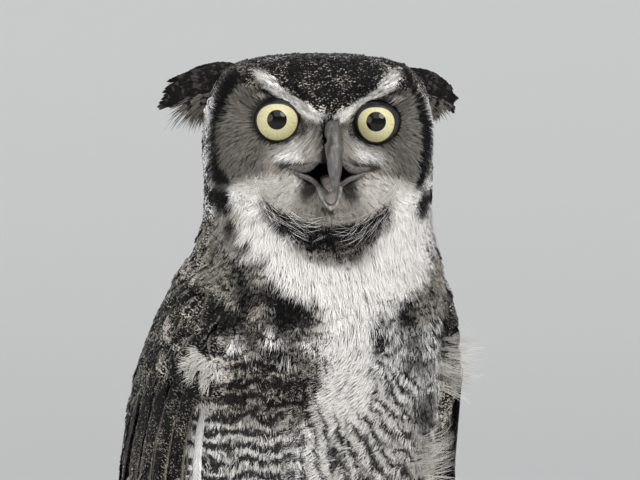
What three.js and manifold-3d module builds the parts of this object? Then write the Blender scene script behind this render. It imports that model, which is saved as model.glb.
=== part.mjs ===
/**
 * Great horned owl, life size: it stands upright on both feet with folded wings, its head turned a
 * little to its right, its bill parted and its ear tufts laid out sideways.
 *
 * Millimetres, +Z up. The owl faces -Y and its own left side is +X. Heights are above the floor.
 * The body is one smooth loft from vent to crown that is parted by thin cuts, and what grows from
 * it (wings, tail, legs, tufts, eyes, bill) is fitted to it with a gap of GAP.
 */
import * as THREE from "three";
import { mergeVertices } from "three/addons/utils/BufferGeometryUtils.js";
import Module from "manifold-3d";

const wasm = await Module();
wasm.setup();
const deg = THREE.MathUtils.degToRad;

// ---- Driving sizes ----
const GAP = 0.4; // clearance between neighbouring pieces
const WING_GUIDE_REACH = 52; // about how far the shell under the wings stands from its axis
const WING_BED = 4; // how far a folded wing sinks into the body's feathers
const WING_FACES = { outer: 11, inner: 5, rings: 14 }; // faces across a wing and along it
const FACETS = { trunk: 26, head: 38, tail: 14, limb: 10, toe: 7, talon: 5 }; // faces round each
const FACE_DETAIL = 0.3; // how much closer the head's faces stand in front than behind
const SQUARENESS = 2.5; // exponent of the body's rounded sections
const HEAD_YAW = -17; // the head's turn about the vertical, towards the owl's right
const HEAD_ROLL = 1; // the head's tilt about the line of sight
const HEAD_AXIS = new THREE.Vector3(0, -14, 400); // pivot of that turn, between the ears
const EYE = { x: 29, y: -37, z: 9.6, radius: 15.5 }; // in the head's own frame, as is the mouth
const MOUTH = { y: -57, z: -22, width: 20, depth: 24, height: 6.5 };
const EAR_ROOT = { x: 46, y: -2, z: 34, sweep: 15 }; // sweep: how far back a tuft points, in degrees
const EAR_REACH = { left: 43, right: 47 };
const FOOT = { x: 37, y: 12 }; // the middle of each sole
const TOES = [
  { name: "inner", angle: -28, length: 47, girth: 8.6, talon: 27 },
  { name: "middle", angle: 4, length: 54, girth: 8.8, talon: 28 },
  { name: "outer", angle: 58, length: 46, girth: 8.2, talon: 25 },
  { name: "hind", angle: 172, length: 33, girth: 8.2, talon: 27 },
];

// Stations up the body: height, axis y, half width, depth in front of the axis, depth behind it.
const BODY = [
  [62, 30, 22, 20, 20],
  [78, 31, 50, 47, 44],
  [105, 33, 66, 66, 53],
  [140, 34, 77, 80, 57],
  [195, 31, 83, 88, 60],
  [243, 22, 84, 90, 60],
  [273, 9, 83, 85, 60],
  [303, -5, 78, 74, 62],
  [325, -10, 75, 65, 60],
  [345, -13, 69, 59, 59],
  [364, -14, 67, 58, 61],
  [388, -14, 68, 59, 62],
  [408, -14, 68, 58, 61],
  [422, -14, 66, 55, 58],
  [433, -14, 62, 51, 51],
  [441, -14, 55, 44, 40],
  [447, -14, 41, 32, 26],
  [450, -14, 17, 14, 9],
];
// The shell that the folded wings lie on: as BODY, and it runs on down over the tail.
const WING_GUIDE = [
  [26, 118, 15, 18, 24],
  [45, 105, 27, 31, 35],
  [75, 82, 45, 50, 44],
  [110, 57, 66, 70, 52],
  [150, 41, 79, 80, 57],
  [195, 31, 83, 88, 60],
  [243, 22, 84, 90, 60],
  [273, 9, 83, 85, 60],
  [303, -5, 78, 74, 62],
  [325, -10, 74, 65, 60],
  [338, -12, 70, 61, 59],
];
// The folded wing: height, front edge and rear edge in degrees round the guide, thickness.
const WING = [
  [26, 78, 86, 3.5],
  [34, 67, 87, 5.5],
  [50, 51, 87, 7],
  [75, 32, 85, 8],
  [110, 9, 81, 10],
  [150, -16, 77, 11.5],
  [195, -34, 74, 12.5],
  [243, -43, 71, 13],
  [273, -43, 67, 12.5],
  [300, -35, 61, 9.5],
  [315, -20, 52, 6.5],
  [326, 6, 38, 3.5],
];
// How far each wing stands off the guide besides: the left one is held a little loose.
const WING_LOOSE = {
  left: [[26, 0], [75, 4], [120, 9], [160, 11], [190, 5], [215, -3], [250, -5], [285, -4], [326, 0]],
  right: [[26, 0], [75, 1], [120, 3], [165, 6], [190, 6], [225, 2], [260, 1], [326, 0]],
};

const VENT = BODY[0][0];
const CROWN = BODY[BODY.length - 1][0];
// The three lengths of the body overlap, and slanting cuts at these heights on its axis part them.
const TRUNK = { from: VENT, to: 346, step: 26, sides: FACETS.trunk };
const NECK = { from: 288, to: 378, step: 15, sides: FACETS.trunk };
const HEAD = { from: 332, to: CROWN, step: 7.2, sides: FACETS.head };
const CUTS = {
  nape: { z: 355, slant: 14 }, // head from neck, higher behind
  collar: { z: 318, slant: 17 }, // neck from trunk
  coverts: { z: 166, slant: -20 }, // wing from its flight feathers, lower behind
};
const sideName = (side) => (side > 0 ? "left" : "right");

// ---- Curves and solids ----

/** The values at a place on a smooth curve through stations of [place, value, value, ...]. */
function at(stations, place) {
  const last = stations.length - 1;
  const t = THREE.MathUtils.clamp(place, stations[0][0], stations[last][0]);
  let i = 0;
  while (i < last - 1 && t > stations[i + 1][0]) i++;
  const slope = (k, c) => {
    const a = stations[Math.max(k - 1, 0)];
    const b = stations[Math.min(k + 1, last)];
    return (b[c] - a[c]) / (b[0] - a[0]);
  };
  const [from, to] = [stations[i], stations[i + 1]];
  const span = to[0] - from[0];
  const u = (t - from[0]) / span;
  return from.slice(1).map((_, k) => {
    const c = k + 1;
    const ease = u * u * (3 - 2 * u);
    const leave = u * (1 - u) * (1 - u) * span * slope(i, c);
    const arrive = u * u * (u - 1) * span * slope(i + 1, c);
    return from[c] * (1 - ease) + to[c] * ease + leave + arrive;
  });
}

/**
 * A closed skin over rings of equal count, with a fan over each end. The faces of the two halves
 * are split the opposite ways, so that a form that is even on both sides stays even.
 */
function loft(rings) {
  const sides = rings[0].length;
  const points = rings.flat();
  const faces = [];
  for (let i = 0; i < rings.length - 1; i++)
    for (let j = 0; j < sides; j++) {
      const a = i * sides + j;
      const b = i * sides + ((j + 1) % sides);
      if (j < sides / 2) faces.push(a, b, b + sides, a, b + sides, a + sides);
      else faces.push(a, b, a + sides, b, b + sides, a + sides);
    }
  for (const [ring, start, flip] of [
    [rings[0], 0, true],
    [rings[rings.length - 1], (rings.length - 1) * sides, false],
  ]) {
    const centre = ring.reduce((sum, p) => sum.add(p), new THREE.Vector3()).divideScalar(sides);
    points.push(centre);
    for (let j = 0; j < sides; j++) {
      const a = start + j;
      const b = start + ((j + 1) % sides);
      faces.push(points.length - 1, flip ? b : a, flip ? a : b);
    }
  }
  return new THREE.BufferGeometry().setFromPoints(points).setIndex(faces);
}

/**
 * A tapering limb through stations of {at: [x, y, z], side, rise}: half sizes across and above its
 * path, on sections that keep `across` level.
 */
function limb(stations, { sides, steps = 1, across = [1, 0, 0], grow = 0 }) {
  const points = stations.map((station) => new THREE.Vector3(...station.at));
  const path = new THREE.CatmullRomCurve3(points, false, "centripetal");
  const sizes = stations.map((s, i) => [i / (stations.length - 1), s.side, s.rise]);
  const count = (stations.length - 1) * steps;
  const level = new THREE.Vector3(...across).normalize();
  const rings = [];
  for (let i = 0; i <= count; i++) {
    const u = i / count;
    const centre = path.getPoint(u);
    const tangent = path.getTangent(u);
    const side = level.clone().addScaledVector(tangent, -level.dot(tangent)).normalize();
    const rise = new THREE.Vector3().crossVectors(tangent, side);
    const [a, b] = at(sizes, u);
    if (i === 0) centre.addScaledVector(tangent, -grow);
    if (i === count) centre.addScaledVector(tangent, grow);
    rings.push(
      Array.from({ length: sides }, (_, j) => {
        const turn = (2 * Math.PI * j) / sides;
        return centre
          .clone()
          .addScaledVector(side, (a + grow) * Math.cos(turn))
          .addScaledVector(rise, (b + grow) * Math.sin(turn));
      }),
    );
  }
  return loft(rings);
}

/** A geometry as a manifold-3d solid with its faces pointing out. */
function solid(geometry) {
  const bare = geometry.clone();
  bare.deleteAttribute("normal");
  bare.deleteAttribute("uv");
  const merged = mergeVertices(bare, 1e-3);
  const build = (triVerts) =>
    new wasm.Manifold(
      new wasm.Mesh({ numProp: 3, vertProperties: merged.attributes.position.array, triVerts }),
    );
  const faces = new Uint32Array(merged.index.array);
  const made = build(faces);
  return made.volume() > 0 ? made : build(faces.reverse());
}

/** The largest body of a solid: cutting may leave crumbs beside it. */
function mainBody(cut) {
  return cut.decompose().reduce((best, piece) => (piece.volume() > best.volume() ? piece : best));
}

function geometryOf(made) {
  const mesh = made.getMesh();
  return new THREE.BufferGeometry()
    .setAttribute("position", new THREE.BufferAttribute(new Float32Array(mesh.vertProperties), 3))
    .setIndex(new THREE.BufferAttribute(new Uint32Array(mesh.triVerts), 1));
}

const bump = (distance, width) => Math.exp(-((distance / width) ** 2));

/** Distance from a point to the segment a-b, all in the plane of the face. */
function toSegment([x, z], [ax, az], [bx, bz]) {
  const [dx, dz] = [bx - ax, bz - az];
  const share = ((x - ax) * dx + (z - az) * dz) / (dx * dx + dz * dz);
  const t = THREE.MathUtils.clamp(share, 0, 1);
  return Math.hypot(x - ax - t * dx, z - az - t * dz);
}

/** The point of a rounded rectangle of these half sizes that lies in a direction from its middle. */
function rounded(direction, width, depth) {
  const [c, s] = [Math.cos(direction), Math.sin(direction)];
  const inverse = Math.abs(c / width) ** SQUARENESS + Math.abs(s / depth) ** SQUARENESS;
  const reach = inverse ** (-1 / SQUARENESS);
  return [c * reach, s * reach];
}

// ---- Body: one form from vent to crown ----

/**
 * How far the face stands forward of the plain head at x, z of the head's frame: dished round the
 * eyes, raised along the brows, down the bill's root, at the cheeks, the chin and the disc's rim.
 */
function faceRelief(x, z) {
  const ax = Math.abs(x);
  const dish = -9 * bump(Math.hypot(ax - EYE.x - 3, z - EYE.z), 18);
  const rim = 4 * bump(ax - 60, 9) * bump(z + 8, 40);
  const lores = 9 * bump(x, 14) * bump(z + 7, 20);
  const brow = 9 * bump(toSegment([ax, z], [7, 9], [46, 33]), 8);
  const cheek = 3 * bump(Math.hypot(ax - 27, z + 29), 15);
  const chin = 5 * bump(Math.hypot(x / 2.2, z + 52), 12);
  const belowCrown = 1 - THREE.MathUtils.smoothstep(z, 34, 48);
  return (dish + rim + Math.max(lores, brow) + cheek + chin) * belowCrown;
}

/** One level section of the body: the head's sections turn with it and carry the face. */
function bodyRing(z, sides, grow) {
  const [axis, width, front, back] = at(BODY, z);
  const yaw = deg(HEAD_YAW) * THREE.MathUtils.smoothstep(z, 318, 366);
  const inHead = THREE.MathUtils.smoothstep(z, 332, 352);
  return Array.from({ length: sides }, (_, j) => {
    const even = (2 * Math.PI * j) / sides;
    const direction = even - FACE_DETAIL * inHead * Math.sin(even) - Math.PI / 2;
    const behind = Math.sin(direction) > 0;
    const [x, flat] = rounded(direction, width + grow, (behind ? back : front) + grow);
    const facing = THREE.MathUtils.smoothstep(-Math.sin(direction), 0.12, 0.45);
    const y = flat - inHead * facing * faceRelief(x, z - HEAD_AXIS.z);
    return new THREE.Vector3(
      x * Math.cos(yaw) - y * Math.sin(yaw),
      axis + x * Math.sin(yaw) + y * Math.cos(yaw),
      z,
    );
  });
}

/** A length of the body, in rings about `step` apart that draw together towards the crown. */
function bodyLength({ from, to, step, sides }, grow = 0) {
  const count = Math.round((to - from) / step);
  const rings = [];
  for (let i = 0; i <= count; i++) {
    const share = i / count;
    const rise = to === CROWN ? Math.sin((Math.PI / 2) * share ** 0.75) ** 0.9 : share;
    rings.push(bodyRing(THREE.MathUtils.lerp(from, to, rise), sides, grow));
  }
  return solid(loft(rings));
}

// ---- Wings ----

/** A level section of a folded wing: an outer arc, and an inner one sunk into the body. */
function wingRing(z, side, grow) {
  const [axis, width, front, back] = at(WING_GUIDE, z);
  const [from, to, thick] = at(WING, z);
  const [loose] = at(WING_LOOSE[sideName(side)], z);
  const edge = THREE.MathUtils.radToDeg(grow / WING_GUIDE_REACH);
  const place = (share, lift) => {
    const turn = deg(from - edge + (to - from + 2 * edge) * share);
    const off = lift + loose * Math.cos(turn) ** 2;
    const [x, y] = rounded(turn, width + off, (turn < 0 ? front : back) + off);
    return new THREE.Vector3(side * x, axis + y, z);
  };
  const plump = (share) => Math.sqrt(1 - Math.abs(2 * share - 1) ** 4);
  const arc = (faces, height) =>
    Array.from({ length: faces + 1 }, (_, i) => place(i / faces, height * plump(i / faces)));
  const outer = arc(WING_FACES.outer, thick + grow);
  const inner = arc(WING_FACES.inner, -(WING_BED + grow));
  return [...outer, ...inner.slice(1, -1).reverse()];
}

function wing(side, grow = 0) {
  const [low, high] = [WING[0][0], WING[WING.length - 1][0]];
  const rings = [];
  for (let i = 0; i <= WING_FACES.rings; i++) {
    const share = i / WING_FACES.rings;
    const z = THREE.MathUtils.lerp(low, high, (1 - Math.cos(Math.PI * share)) / 2);
    const lift = i === 0 ? -grow : i === WING_FACES.rings ? grow : 0;
    rings.push(wingRing(z, side, grow).map((point) => point.setZ(z + lift)));
  }
  return solid(loft(rings));
}

// ---- Tail, legs, toes and talons ----

function tail(grow = 0) {
  return limb(
    [
      { at: [0, 60, 152], side: 34, rise: 22 },
      { at: [0, 84, 114], side: 36, rise: 15 },
      { at: [0, 108, 76], side: 39, rise: 9 },
      { at: [0, 131, 40], side: 43, rise: 5.5 },
      { at: [0, 147, 14], side: 42, rise: 3.5 },
      { at: [0, 152, 6], side: 33, rise: 2 },
    ],
    { sides: FACETS.tail, grow },
  );
}

function thigh(side, grow = 0) {
  return limb(
    [
      { at: [side * 40, 26, 116], side: 30, rise: 34 },
      { at: [side * 40, 22, 84], side: 27, rise: 31 },
      { at: [side * 38, 15, 58], side: 19, rise: 21 },
      { at: [side * FOOT.x, FOOT.y, 44], side: 15, rise: 16 },
    ],
    { sides: FACETS.limb, steps: 2, grow },
  );
}

function shank(side) {
  return limb(
    [
      { at: [side * FOOT.x, FOOT.y, 60], side: 13, rise: 14 },
      { at: [side * FOOT.x, FOOT.y, 42], side: 12.5, rise: 13 },
      { at: [side * FOOT.x, FOOT.y, 20], side: 14, rise: 15 },
    ],
    { sides: FACETS.limb },
  );
}

function sole(side, grow = 0) {
  return limb(
    [
      { at: [side * FOOT.x, FOOT.y, 21], side: 12.5, rise: 13.5 },
      { at: [side * FOOT.x, FOOT.y, 14], side: 15, rise: 15.5 },
      { at: [side * FOOT.x, FOOT.y, 5], side: 15.5, rise: 16 },
      { at: [side * FOOT.x, FOOT.y, -3], side: 14, rise: 14 },
    ],
    { sides: FACETS.limb, grow },
  );
}

/** The level direction that a toe points in; its angle is counted outwards from straight ahead. */
function toeHeading(side, toe) {
  return [side * Math.sin(deg(toe.angle)), -Math.cos(deg(toe.angle))];
}

function toePlace(side, toe, reach, z) {
  const [hx, hy] = toeHeading(side, toe);
  return [side * FOOT.x + hx * reach, FOOT.y + hy * reach, z];
}

function toeForm(side, toe, grow = 0) {
  const [hx, hy] = toeHeading(side, toe);
  const g = toe.girth;
  return limb(
    [
      { at: toePlace(side, toe, 4, g), side: g, rise: g + 2 },
      { at: toePlace(side, toe, toe.length * 0.45, g - 0.5), side: g, rise: g + 0.5 },
      { at: toePlace(side, toe, toe.length * 0.8, g - 1), side: g * 0.92, rise: g * 0.9 },
      { at: toePlace(side, toe, toe.length, g - 1.6), side: g * 0.55, rise: g * 0.55 },
    ],
    { sides: FACETS.toe, across: [-hy, hx, 0], grow },
  );
}

function talonForm(side, toe) {
  const [hx, hy] = toeHeading(side, toe);
  const start = toe.length - 4;
  const [run, g] = [toe.talon, toe.girth];
  return limb(
    [
      { at: toePlace(side, toe, start, g), side: 3.6, rise: 4.2 },
      { at: toePlace(side, toe, start + run * 0.35, g + 1.5), side: 3.1, rise: 3.8 },
      { at: toePlace(side, toe, start + run * 0.68, g - 1.5), side: 2.1, rise: 2.7 },
      { at: toePlace(side, toe, start + run * 0.88, 1.4), side: 0.7, rise: 0.9 },
    ],
    { sides: FACETS.talon, steps: 2, across: [-hy, hx, 0] },
  );
}

// ---- Head pieces, in the head's own frame: origin at HEAD_AXIS, face towards -Y ----

const headFrame = new THREE.Matrix4()
  .makeTranslation(HEAD_AXIS)
  .multiply(new THREE.Matrix4().makeRotationZ(deg(HEAD_YAW)))
  .multiply(new THREE.Matrix4().makeRotationY(deg(HEAD_ROLL)));

function eyeBall(side, grow = 0) {
  return new THREE.SphereGeometry(EYE.radius + grow, 14, 10).translate(side * EYE.x, EYE.y, EYE.z);
}

function upperBill(grow = 0) {
  return limb(
    [
      { at: [0, -60, 3], side: 6, rise: 7 },
      { at: [0, -67.5, -4], side: 6.2, rise: 7.5 },
      { at: [0, -72.5, -13], side: 5.2, rise: 6 },
      { at: [0, -75, -21], side: 3.8, rise: 4.4 },
      { at: [0, -75, -27], side: 2.3, rise: 2.8 },
      { at: [0, -73, -31.5], side: 0.8, rise: 1 },
    ],
    { sides: 10, steps: 2, grow },
  );
}

function lowerBill(grow = 0) {
  return limb(
    [
      { at: [0, -50, -28], side: 9, rise: 3 },
      { at: [0, -58, -32], side: 8.8, rise: 3.8 },
      { at: [0, -65, -37], side: 6.6, rise: 3.4 },
      { at: [0, -70, -41.5], side: 2.4, rise: 1.8 },
    ],
    { sides: 10, steps: 2, grow },
  );
}

/** The hollow of the lower bill, in which the tongue lies. */
function billTrough() {
  return new THREE.SphereGeometry(1, 12, 8)
    .scale(6, 12, 3.2)
    .rotateX(deg(33))
    .translate(0, -59.5, -29.6);
}

function tongue(grow = 0) {
  return limb(
    [
      { at: [0, -46, -24], side: 4.6, rise: 2 },
      { at: [0, -54, -26.2], side: 4.6, rise: 2.2 },
      { at: [0, -61, -29.8], side: 3.4, rise: 1.5 },
      { at: [0, -65, -32.4], side: 1.2, rise: 0.7 },
    ],
    { sides: 8, grow },
  );
}

function mouthHollow() {
  return new THREE.SphereGeometry(1, 14, 6)
    .scale(MOUTH.width, MOUTH.depth, MOUTH.height)
    .translate(0, MOUTH.y, MOUTH.z);
}

/** An ear tuft: a flat fan of long feathers that droops to its tip. */
function earTuft(side) {
  const reach = EAR_REACH[sideName(side)];
  return limb(
    [
      { at: [0, 0, 0], side: 6, rise: 9 },
      { at: [reach * 0.33, 1, -2], side: 5.5, rise: 11.5 },
      { at: [reach * 0.66, 2, -8], side: 4, rise: 13.5 },
      { at: [reach * 0.9, 3, -15], side: 2.6, rise: 10.5 },
      { at: [reach, 4, -19], side: 1.4, rise: 4.5 },
    ],
    { sides: 10, steps: 2, across: [0, 1, 0] },
  )
    .rotateZ(deg(EAR_ROOT.sweep))
    .scale(side, 1, 1)
    .translate(side * EAR_ROOT.x, EAR_ROOT.y, EAR_ROOT.z);
}

// ---- Fit the pieces to each other ----

const finish = {
  plumage: { color: "#4a4139", roughness: 0.85 },
  face: { color: "#8d8074", roughness: 0.85 },
  throat: { color: "#d8d2ca", roughness: 0.9 },
  quills: { color: "#5a4f45", roughness: 0.7 },
  tufts: { color: "#211e1b", roughness: 0.85 },
  legs: { color: "#b9ab98", roughness: 0.9 },
  eye: { color: "#d9cf8c", roughness: 0.08 },
  horn: { color: "#3a3836", roughness: 0.35 },
  tongue: { color: "#8c6f6a", roughness: 0.5 },
};
const materials = Object.fromEntries(
  Object.entries(finish).map(([name, look]) => [
    name,
    new THREE.MeshStandardMaterial({ ...look, metalness: 0, flatShading: true }),
  ]),
);

function mesh(name, geometry, material) {
  const made = new THREE.Mesh(geometry, materials[material]);
  made.name = name;
  return made;
}

const SIDES = [1, -1];
const inHead = (geometry) => solid(geometry.clone().applyMatrix4(headFrame));
const less = (made, cutters) => cutters.reduce((left, cutter) => left.subtract(cutter), made);

/** A block that fills all space above (up = 1) or below (-1) a cut, and leaves half the gap to it. */
function beyond({ z, slant }, up) {
  const size = 700;
  return solid(
    new THREE.BoxGeometry(size, size, size)
      .translate(0, 0, up * (size / 2 - GAP / 2))
      .rotateX(deg(slant))
      .translate(0, HEAD_AXIS.y, z),
  );
}

const owl = new THREE.Group();
owl.name = "great_horned_owl";
const wingBeds = SIDES.map((side) => wing(side, GAP));
const thighBeds = SIDES.map((side) => solid(thigh(side, GAP)));

const trunk = less(bodyLength(TRUNK), [beyond(CUTS.collar, 1), ...wingBeds, ...thighBeds]);
const neck = less(bodyLength(NECK), [beyond(CUTS.collar, -1), beyond(CUTS.nape, 1), ...wingBeds]);
const rump = less(solid(tail()), [bodyLength(TRUNK, GAP), ...wingBeds]);
owl.add(mesh("trunk", geometryOf(mainBody(trunk)), "plumage"));
owl.add(mesh("neck", geometryOf(mainBody(neck)), "throat"));
owl.add(mesh("tail", geometryOf(mainBody(rump)), "quills"));

/** The head and all that turns with it, stored in the head's own frame. */
function headGroup() {
  const group = new THREE.Group();
  group.applyMatrix4(headFrame);
  const toHead = headFrame.clone().invert();
  const add = (name, made, material) =>
    group.add(mesh(name, geometryOf(mainBody(made)).applyMatrix4(toHead), material));
  const sockets = SIDES.map((side) => eyeBall(side, GAP));
  const hollows = [mouthHollow(), upperBill(GAP), lowerBill(GAP), tongue(GAP), ...sockets].map(inHead);
  add("head", less(bodyLength(HEAD), [beyond(CUTS.nape, -1), ...hollows]), "face");
  const headGrown = bodyLength(HEAD, GAP);
  for (const side of SIDES) {
    group.add(mesh(`eye_${sideName(side)}`, eyeBall(side), "eye"));
    add(`ear_tuft_${sideName(side)}`, inHead(earTuft(side)).subtract(headGrown), "tufts");
  }
  group.add(mesh("bill_upper", upperBill(), "horn"));
  group.add(mesh("tongue", tongue(), "tongue"));
  add("bill_lower", less(inHead(lowerBill()), [billTrough(), tongue(GAP)].map(inHead)), "horn");
  return group;
}
owl.add(headGroup());

const belowFloor = solid(new THREE.BoxGeometry(600, 600, 60).translate(0, 0, -30));

/** A leg: thigh, shank, sole, toes round it and their talons, with the sole and toes flat below. */
function addLeg(side) {
  const label = sideName(side);
  const soleGrown = solid(sole(side, GAP));
  const leg = less(solid(shank(side)), [solid(thigh(side, GAP)), soleGrown]);
  owl.add(mesh(`thigh_${label}`, geometryOf(solid(thigh(side))), "legs"));
  owl.add(mesh(`shank_${label}`, geometryOf(mainBody(leg)), "legs"));
  owl.add(mesh(`foot_${label}`, geometryOf(solid(sole(side)).subtract(belowFloor)), "legs"));
  let taken = soleGrown;
  for (const toe of TOES) {
    const grown = solid(toeForm(side, toe, GAP));
    const flesh = less(solid(toeForm(side, toe)), [belowFloor, taken]);
    const claw = solid(talonForm(side, toe)).subtract(grown);
    owl.add(mesh(`toe_${toe.name}_${label}`, geometryOf(mainBody(flesh)), "legs"));
    owl.add(mesh(`talon_${toe.name}_${label}`, geometryOf(mainBody(claw)), "horn"));
    taken = taken.add(grown);
  }
}

/** A folded wing, parted into the arm with its coverts and the long flight feathers below them. */
function addWing(side) {
  const whole = wing(side);
  const arm = mainBody(whole.subtract(beyond(CUTS.coverts, -1)));
  const quills = mainBody(whole.subtract(beyond(CUTS.coverts, 1)));
  owl.add(mesh(`wing_${sideName(side)}`, geometryOf(arm), "plumage"));
  owl.add(mesh(`flight_feathers_${sideName(side)}`, geometryOf(quills), "quills"));
}

for (const side of SIDES) {
  addWing(side);
  addLeg(side);
}

// The part's origin is the middle of its footprint, on the floor.
const box = new THREE.Box3().setFromObject(owl, true);
owl.position.set(-(box.min.x + box.max.x) / 2, -(box.min.y + box.max.y) / 2, -box.min.z);

export default owl;
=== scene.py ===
"""A great horned owl that stands with its head turned: skin, feathers, eyes, bill and claws.

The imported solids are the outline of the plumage. One skin lies inside them by the depth of the
coat, and every feather roots in that skin and reaches out to the outline. Lengths are in metres,
and MM turns a size in millimetres into them. The head has a frame of its own, with +X towards the
owl's left and -Y ahead, and a place on the body is a height and a bearing, counted in degrees from
straight ahead, positive towards the owl's left."""

import math
from dataclasses import dataclass
from functools import partial

import bmesh
import bpy
import numpy as np
from mathutils import Matrix, Vector
from mathutils.bvhtree import BVHTree


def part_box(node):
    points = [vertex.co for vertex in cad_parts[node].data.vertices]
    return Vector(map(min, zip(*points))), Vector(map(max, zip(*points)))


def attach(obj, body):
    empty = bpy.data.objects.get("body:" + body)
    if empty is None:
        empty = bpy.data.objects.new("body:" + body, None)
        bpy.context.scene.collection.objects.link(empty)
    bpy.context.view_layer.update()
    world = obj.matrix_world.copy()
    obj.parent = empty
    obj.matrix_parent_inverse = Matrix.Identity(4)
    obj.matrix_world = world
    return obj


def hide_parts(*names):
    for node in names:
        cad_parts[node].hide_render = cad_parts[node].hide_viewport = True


bl_info = {
    "name": "Great horned owl",
    "version": (1, 0, 0),
    "blender": (4, 5, 0),
    "location": "View3D > Sidebar > Owl",
    "description": "Dresses the solids of a standing great horned owl in skin and feathers",
    "category": "Add Mesh",
}

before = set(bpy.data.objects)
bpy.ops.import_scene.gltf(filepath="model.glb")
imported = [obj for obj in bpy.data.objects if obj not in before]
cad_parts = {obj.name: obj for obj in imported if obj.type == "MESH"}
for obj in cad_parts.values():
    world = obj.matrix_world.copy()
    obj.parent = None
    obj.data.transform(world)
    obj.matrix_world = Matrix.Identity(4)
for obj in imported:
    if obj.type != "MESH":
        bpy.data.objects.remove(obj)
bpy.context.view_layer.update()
MM = 0.001
SIDES = {"left": 1, "right": -1}
TOES = ("inner", "middle", "outer", "hind")
LIMBS = ("thigh", "shank", "foot", *(f"toe_{toe}" for toe in TOES))
FLESH = ["trunk", "neck", "head", "wing_left", "wing_right"]
FLESH += [f"{limb}_{side}" for side in SIDES for limb in LIMBS]
LONG_FEATHERS = ["tail", "flight_feathers_left", "flight_feathers_right"]


# ---- Places on the owl ----


def unit(vectors):
    """The vectors at length 1."""
    vectors = np.asarray(vectors, float)
    return vectors / np.maximum(np.linalg.norm(vectors, axis=-1, keepdims=True), 1e-12)


def dot(a, b):
    return np.sum(a * b, axis=-1)


def ramp(value, start, end):
    """0 before start and 1 after end, with a smooth rise between. start may be the larger."""
    t = np.clip((np.asarray(value, float) - start) / (end - start), 0, 1)
    return t * t * (3 - 2 * t)


def corners(*names):
    """The corner points of these solids."""
    return np.array([v.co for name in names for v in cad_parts[name].data.vertices])


def middle(name):
    """The middle of a solid's box."""
    low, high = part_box(name)
    return np.array((low + high) / 2)


EYE_RADIUS = (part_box("eye_left")[1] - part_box("eye_left")[0]).x / 2
EYES = {side: middle("eye_" + side) for side in SIDES}
EYE_AHEAD, EYE_ABOVE = 37, 9.6  # of the head's own origin, in millimetres
HEAD_X = unit(EYES["left"] - EYES["right"])
HEAD_Z = unit(np.array([0, 0, 1]) - HEAD_X[2] * HEAD_X)
HEAD_Y = np.cross(HEAD_Z, HEAD_X)
HEAD_TURN = np.array([HEAD_X, HEAD_Y, HEAD_Z])
HEAD_BEARING = math.degrees(math.atan2(-HEAD_Y[0], HEAD_Y[1]))
HEAD_AT = (EYES["left"] + EYES["right"]) / 2 + EYE_AHEAD * MM * HEAD_Y - EYE_ABOVE * MM * HEAD_Z


def in_head(points):
    """Points in the head's frame, in millimetres."""
    return (points - HEAD_AT) @ HEAD_TURN.T / MM


def from_head(places):
    """The place of points given in the head's frame, in millimetres."""
    return np.asarray(places, float) * MM @ HEAD_TURN + HEAD_AT


def body_line():
    """The line up the middle of the body: heights, and how far back its middle stands at each."""
    found = corners("trunk", "neck", "head")
    heights = np.arange(80, 440, 15) * MM
    bands = [found[abs(found[:, 2] - height) < 14 * MM, 1] for height in heights]
    return heights, np.array([(band.min() + band.max()) / 2 for band in bands])


BODY_X = middle("trunk")[0]
BODY_HEIGHTS, BODY_BACK = body_line()
MM_PER_DEGREE = 1.4  # round the breast


def round_body(points):
    """Bearings round the body in degrees, and heights in millimetres."""
    back = np.interp(points[:, 2], BODY_HEIGHTS, BODY_BACK)
    bearing = np.degrees(np.arctan2(points[:, 0] - BODY_X, back - points[:, 1]))
    return bearing, points[:, 2] / MM


# ---- The outline and the skin ----


class Surface:
    """A mesh that feathers root in or lie on."""

    def __init__(self, mesh):
        mesh.calc_loop_triangles()
        self.places = np.empty((len(mesh.vertices), 3))
        self.normals = np.empty((len(mesh.vertices), 3))
        self.faces = np.empty((len(mesh.loop_triangles), 3), int)
        mesh.vertices.foreach_get("co", self.places.ravel())
        mesh.vertex_normals.foreach_get("vector", self.normals.ravel())
        mesh.loop_triangles.foreach_get("vertices", self.faces.ravel())
        self.tree = BVHTree.FromPolygons(self.places.tolist(), self.faces.tolist())

    def shares(self, points, faces):
        """How much each corner of a face counts at points on it."""
        a, b, c = (self.places[self.faces[faces, k]] for k in range(3))
        whole = np.linalg.norm(np.cross(b - a, c - a), axis=1) + 1e-18
        at_a = np.linalg.norm(np.cross(b - points, c - points), axis=1) / whole
        at_b = np.linalg.norm(np.cross(c - points, a - points), axis=1) / whole
        return np.clip(np.column_stack([at_a, at_b, 1 - at_a - at_b]), 0, 1)

    def blended(self, values, points, faces):
        """Values kept at the mesh's vertices, read at points on its faces."""
        return np.einsum("nk,nkc->nc", self.shares(points, faces), values[self.faces[faces]])

    def nearest(self, points):
        """The nearest places on the surface, its normals there, and the faces they are on."""
        found = [self.tree.find_nearest(point) for point in points.tolist()]
        places = np.array([place for place, _, _, _ in found])
        faces = np.array([face for _, _, face, _ in found])
        return places, unit(self.blended(self.normals, places, faces)), faces


class Skin(Surface):
    """The surface that feathers root in, with the part that each vertex belongs to and its UV map."""

    def __init__(self, mesh):
        super().__init__(mesh)
        self.parts = np.empty(len(self.places), np.int32)
        mesh.attributes["part"].data.foreach_get("value", self.parts)
        corner = np.empty(self.faces.shape, int)
        mesh.loop_triangles.foreach_get("loops", corner.ravel())
        uv = np.empty((len(mesh.loops), 2))
        mesh.uv_layers.active.uv.foreach_get("vector", uv.ravel())
        self.uv = uv[corner]

    def uv_at(self, points, faces):
        """Where points on its faces lie on its UV map."""
        return np.einsum("nk,nkc->nc", self.shares(points, faces), self.uv[faces])


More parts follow.
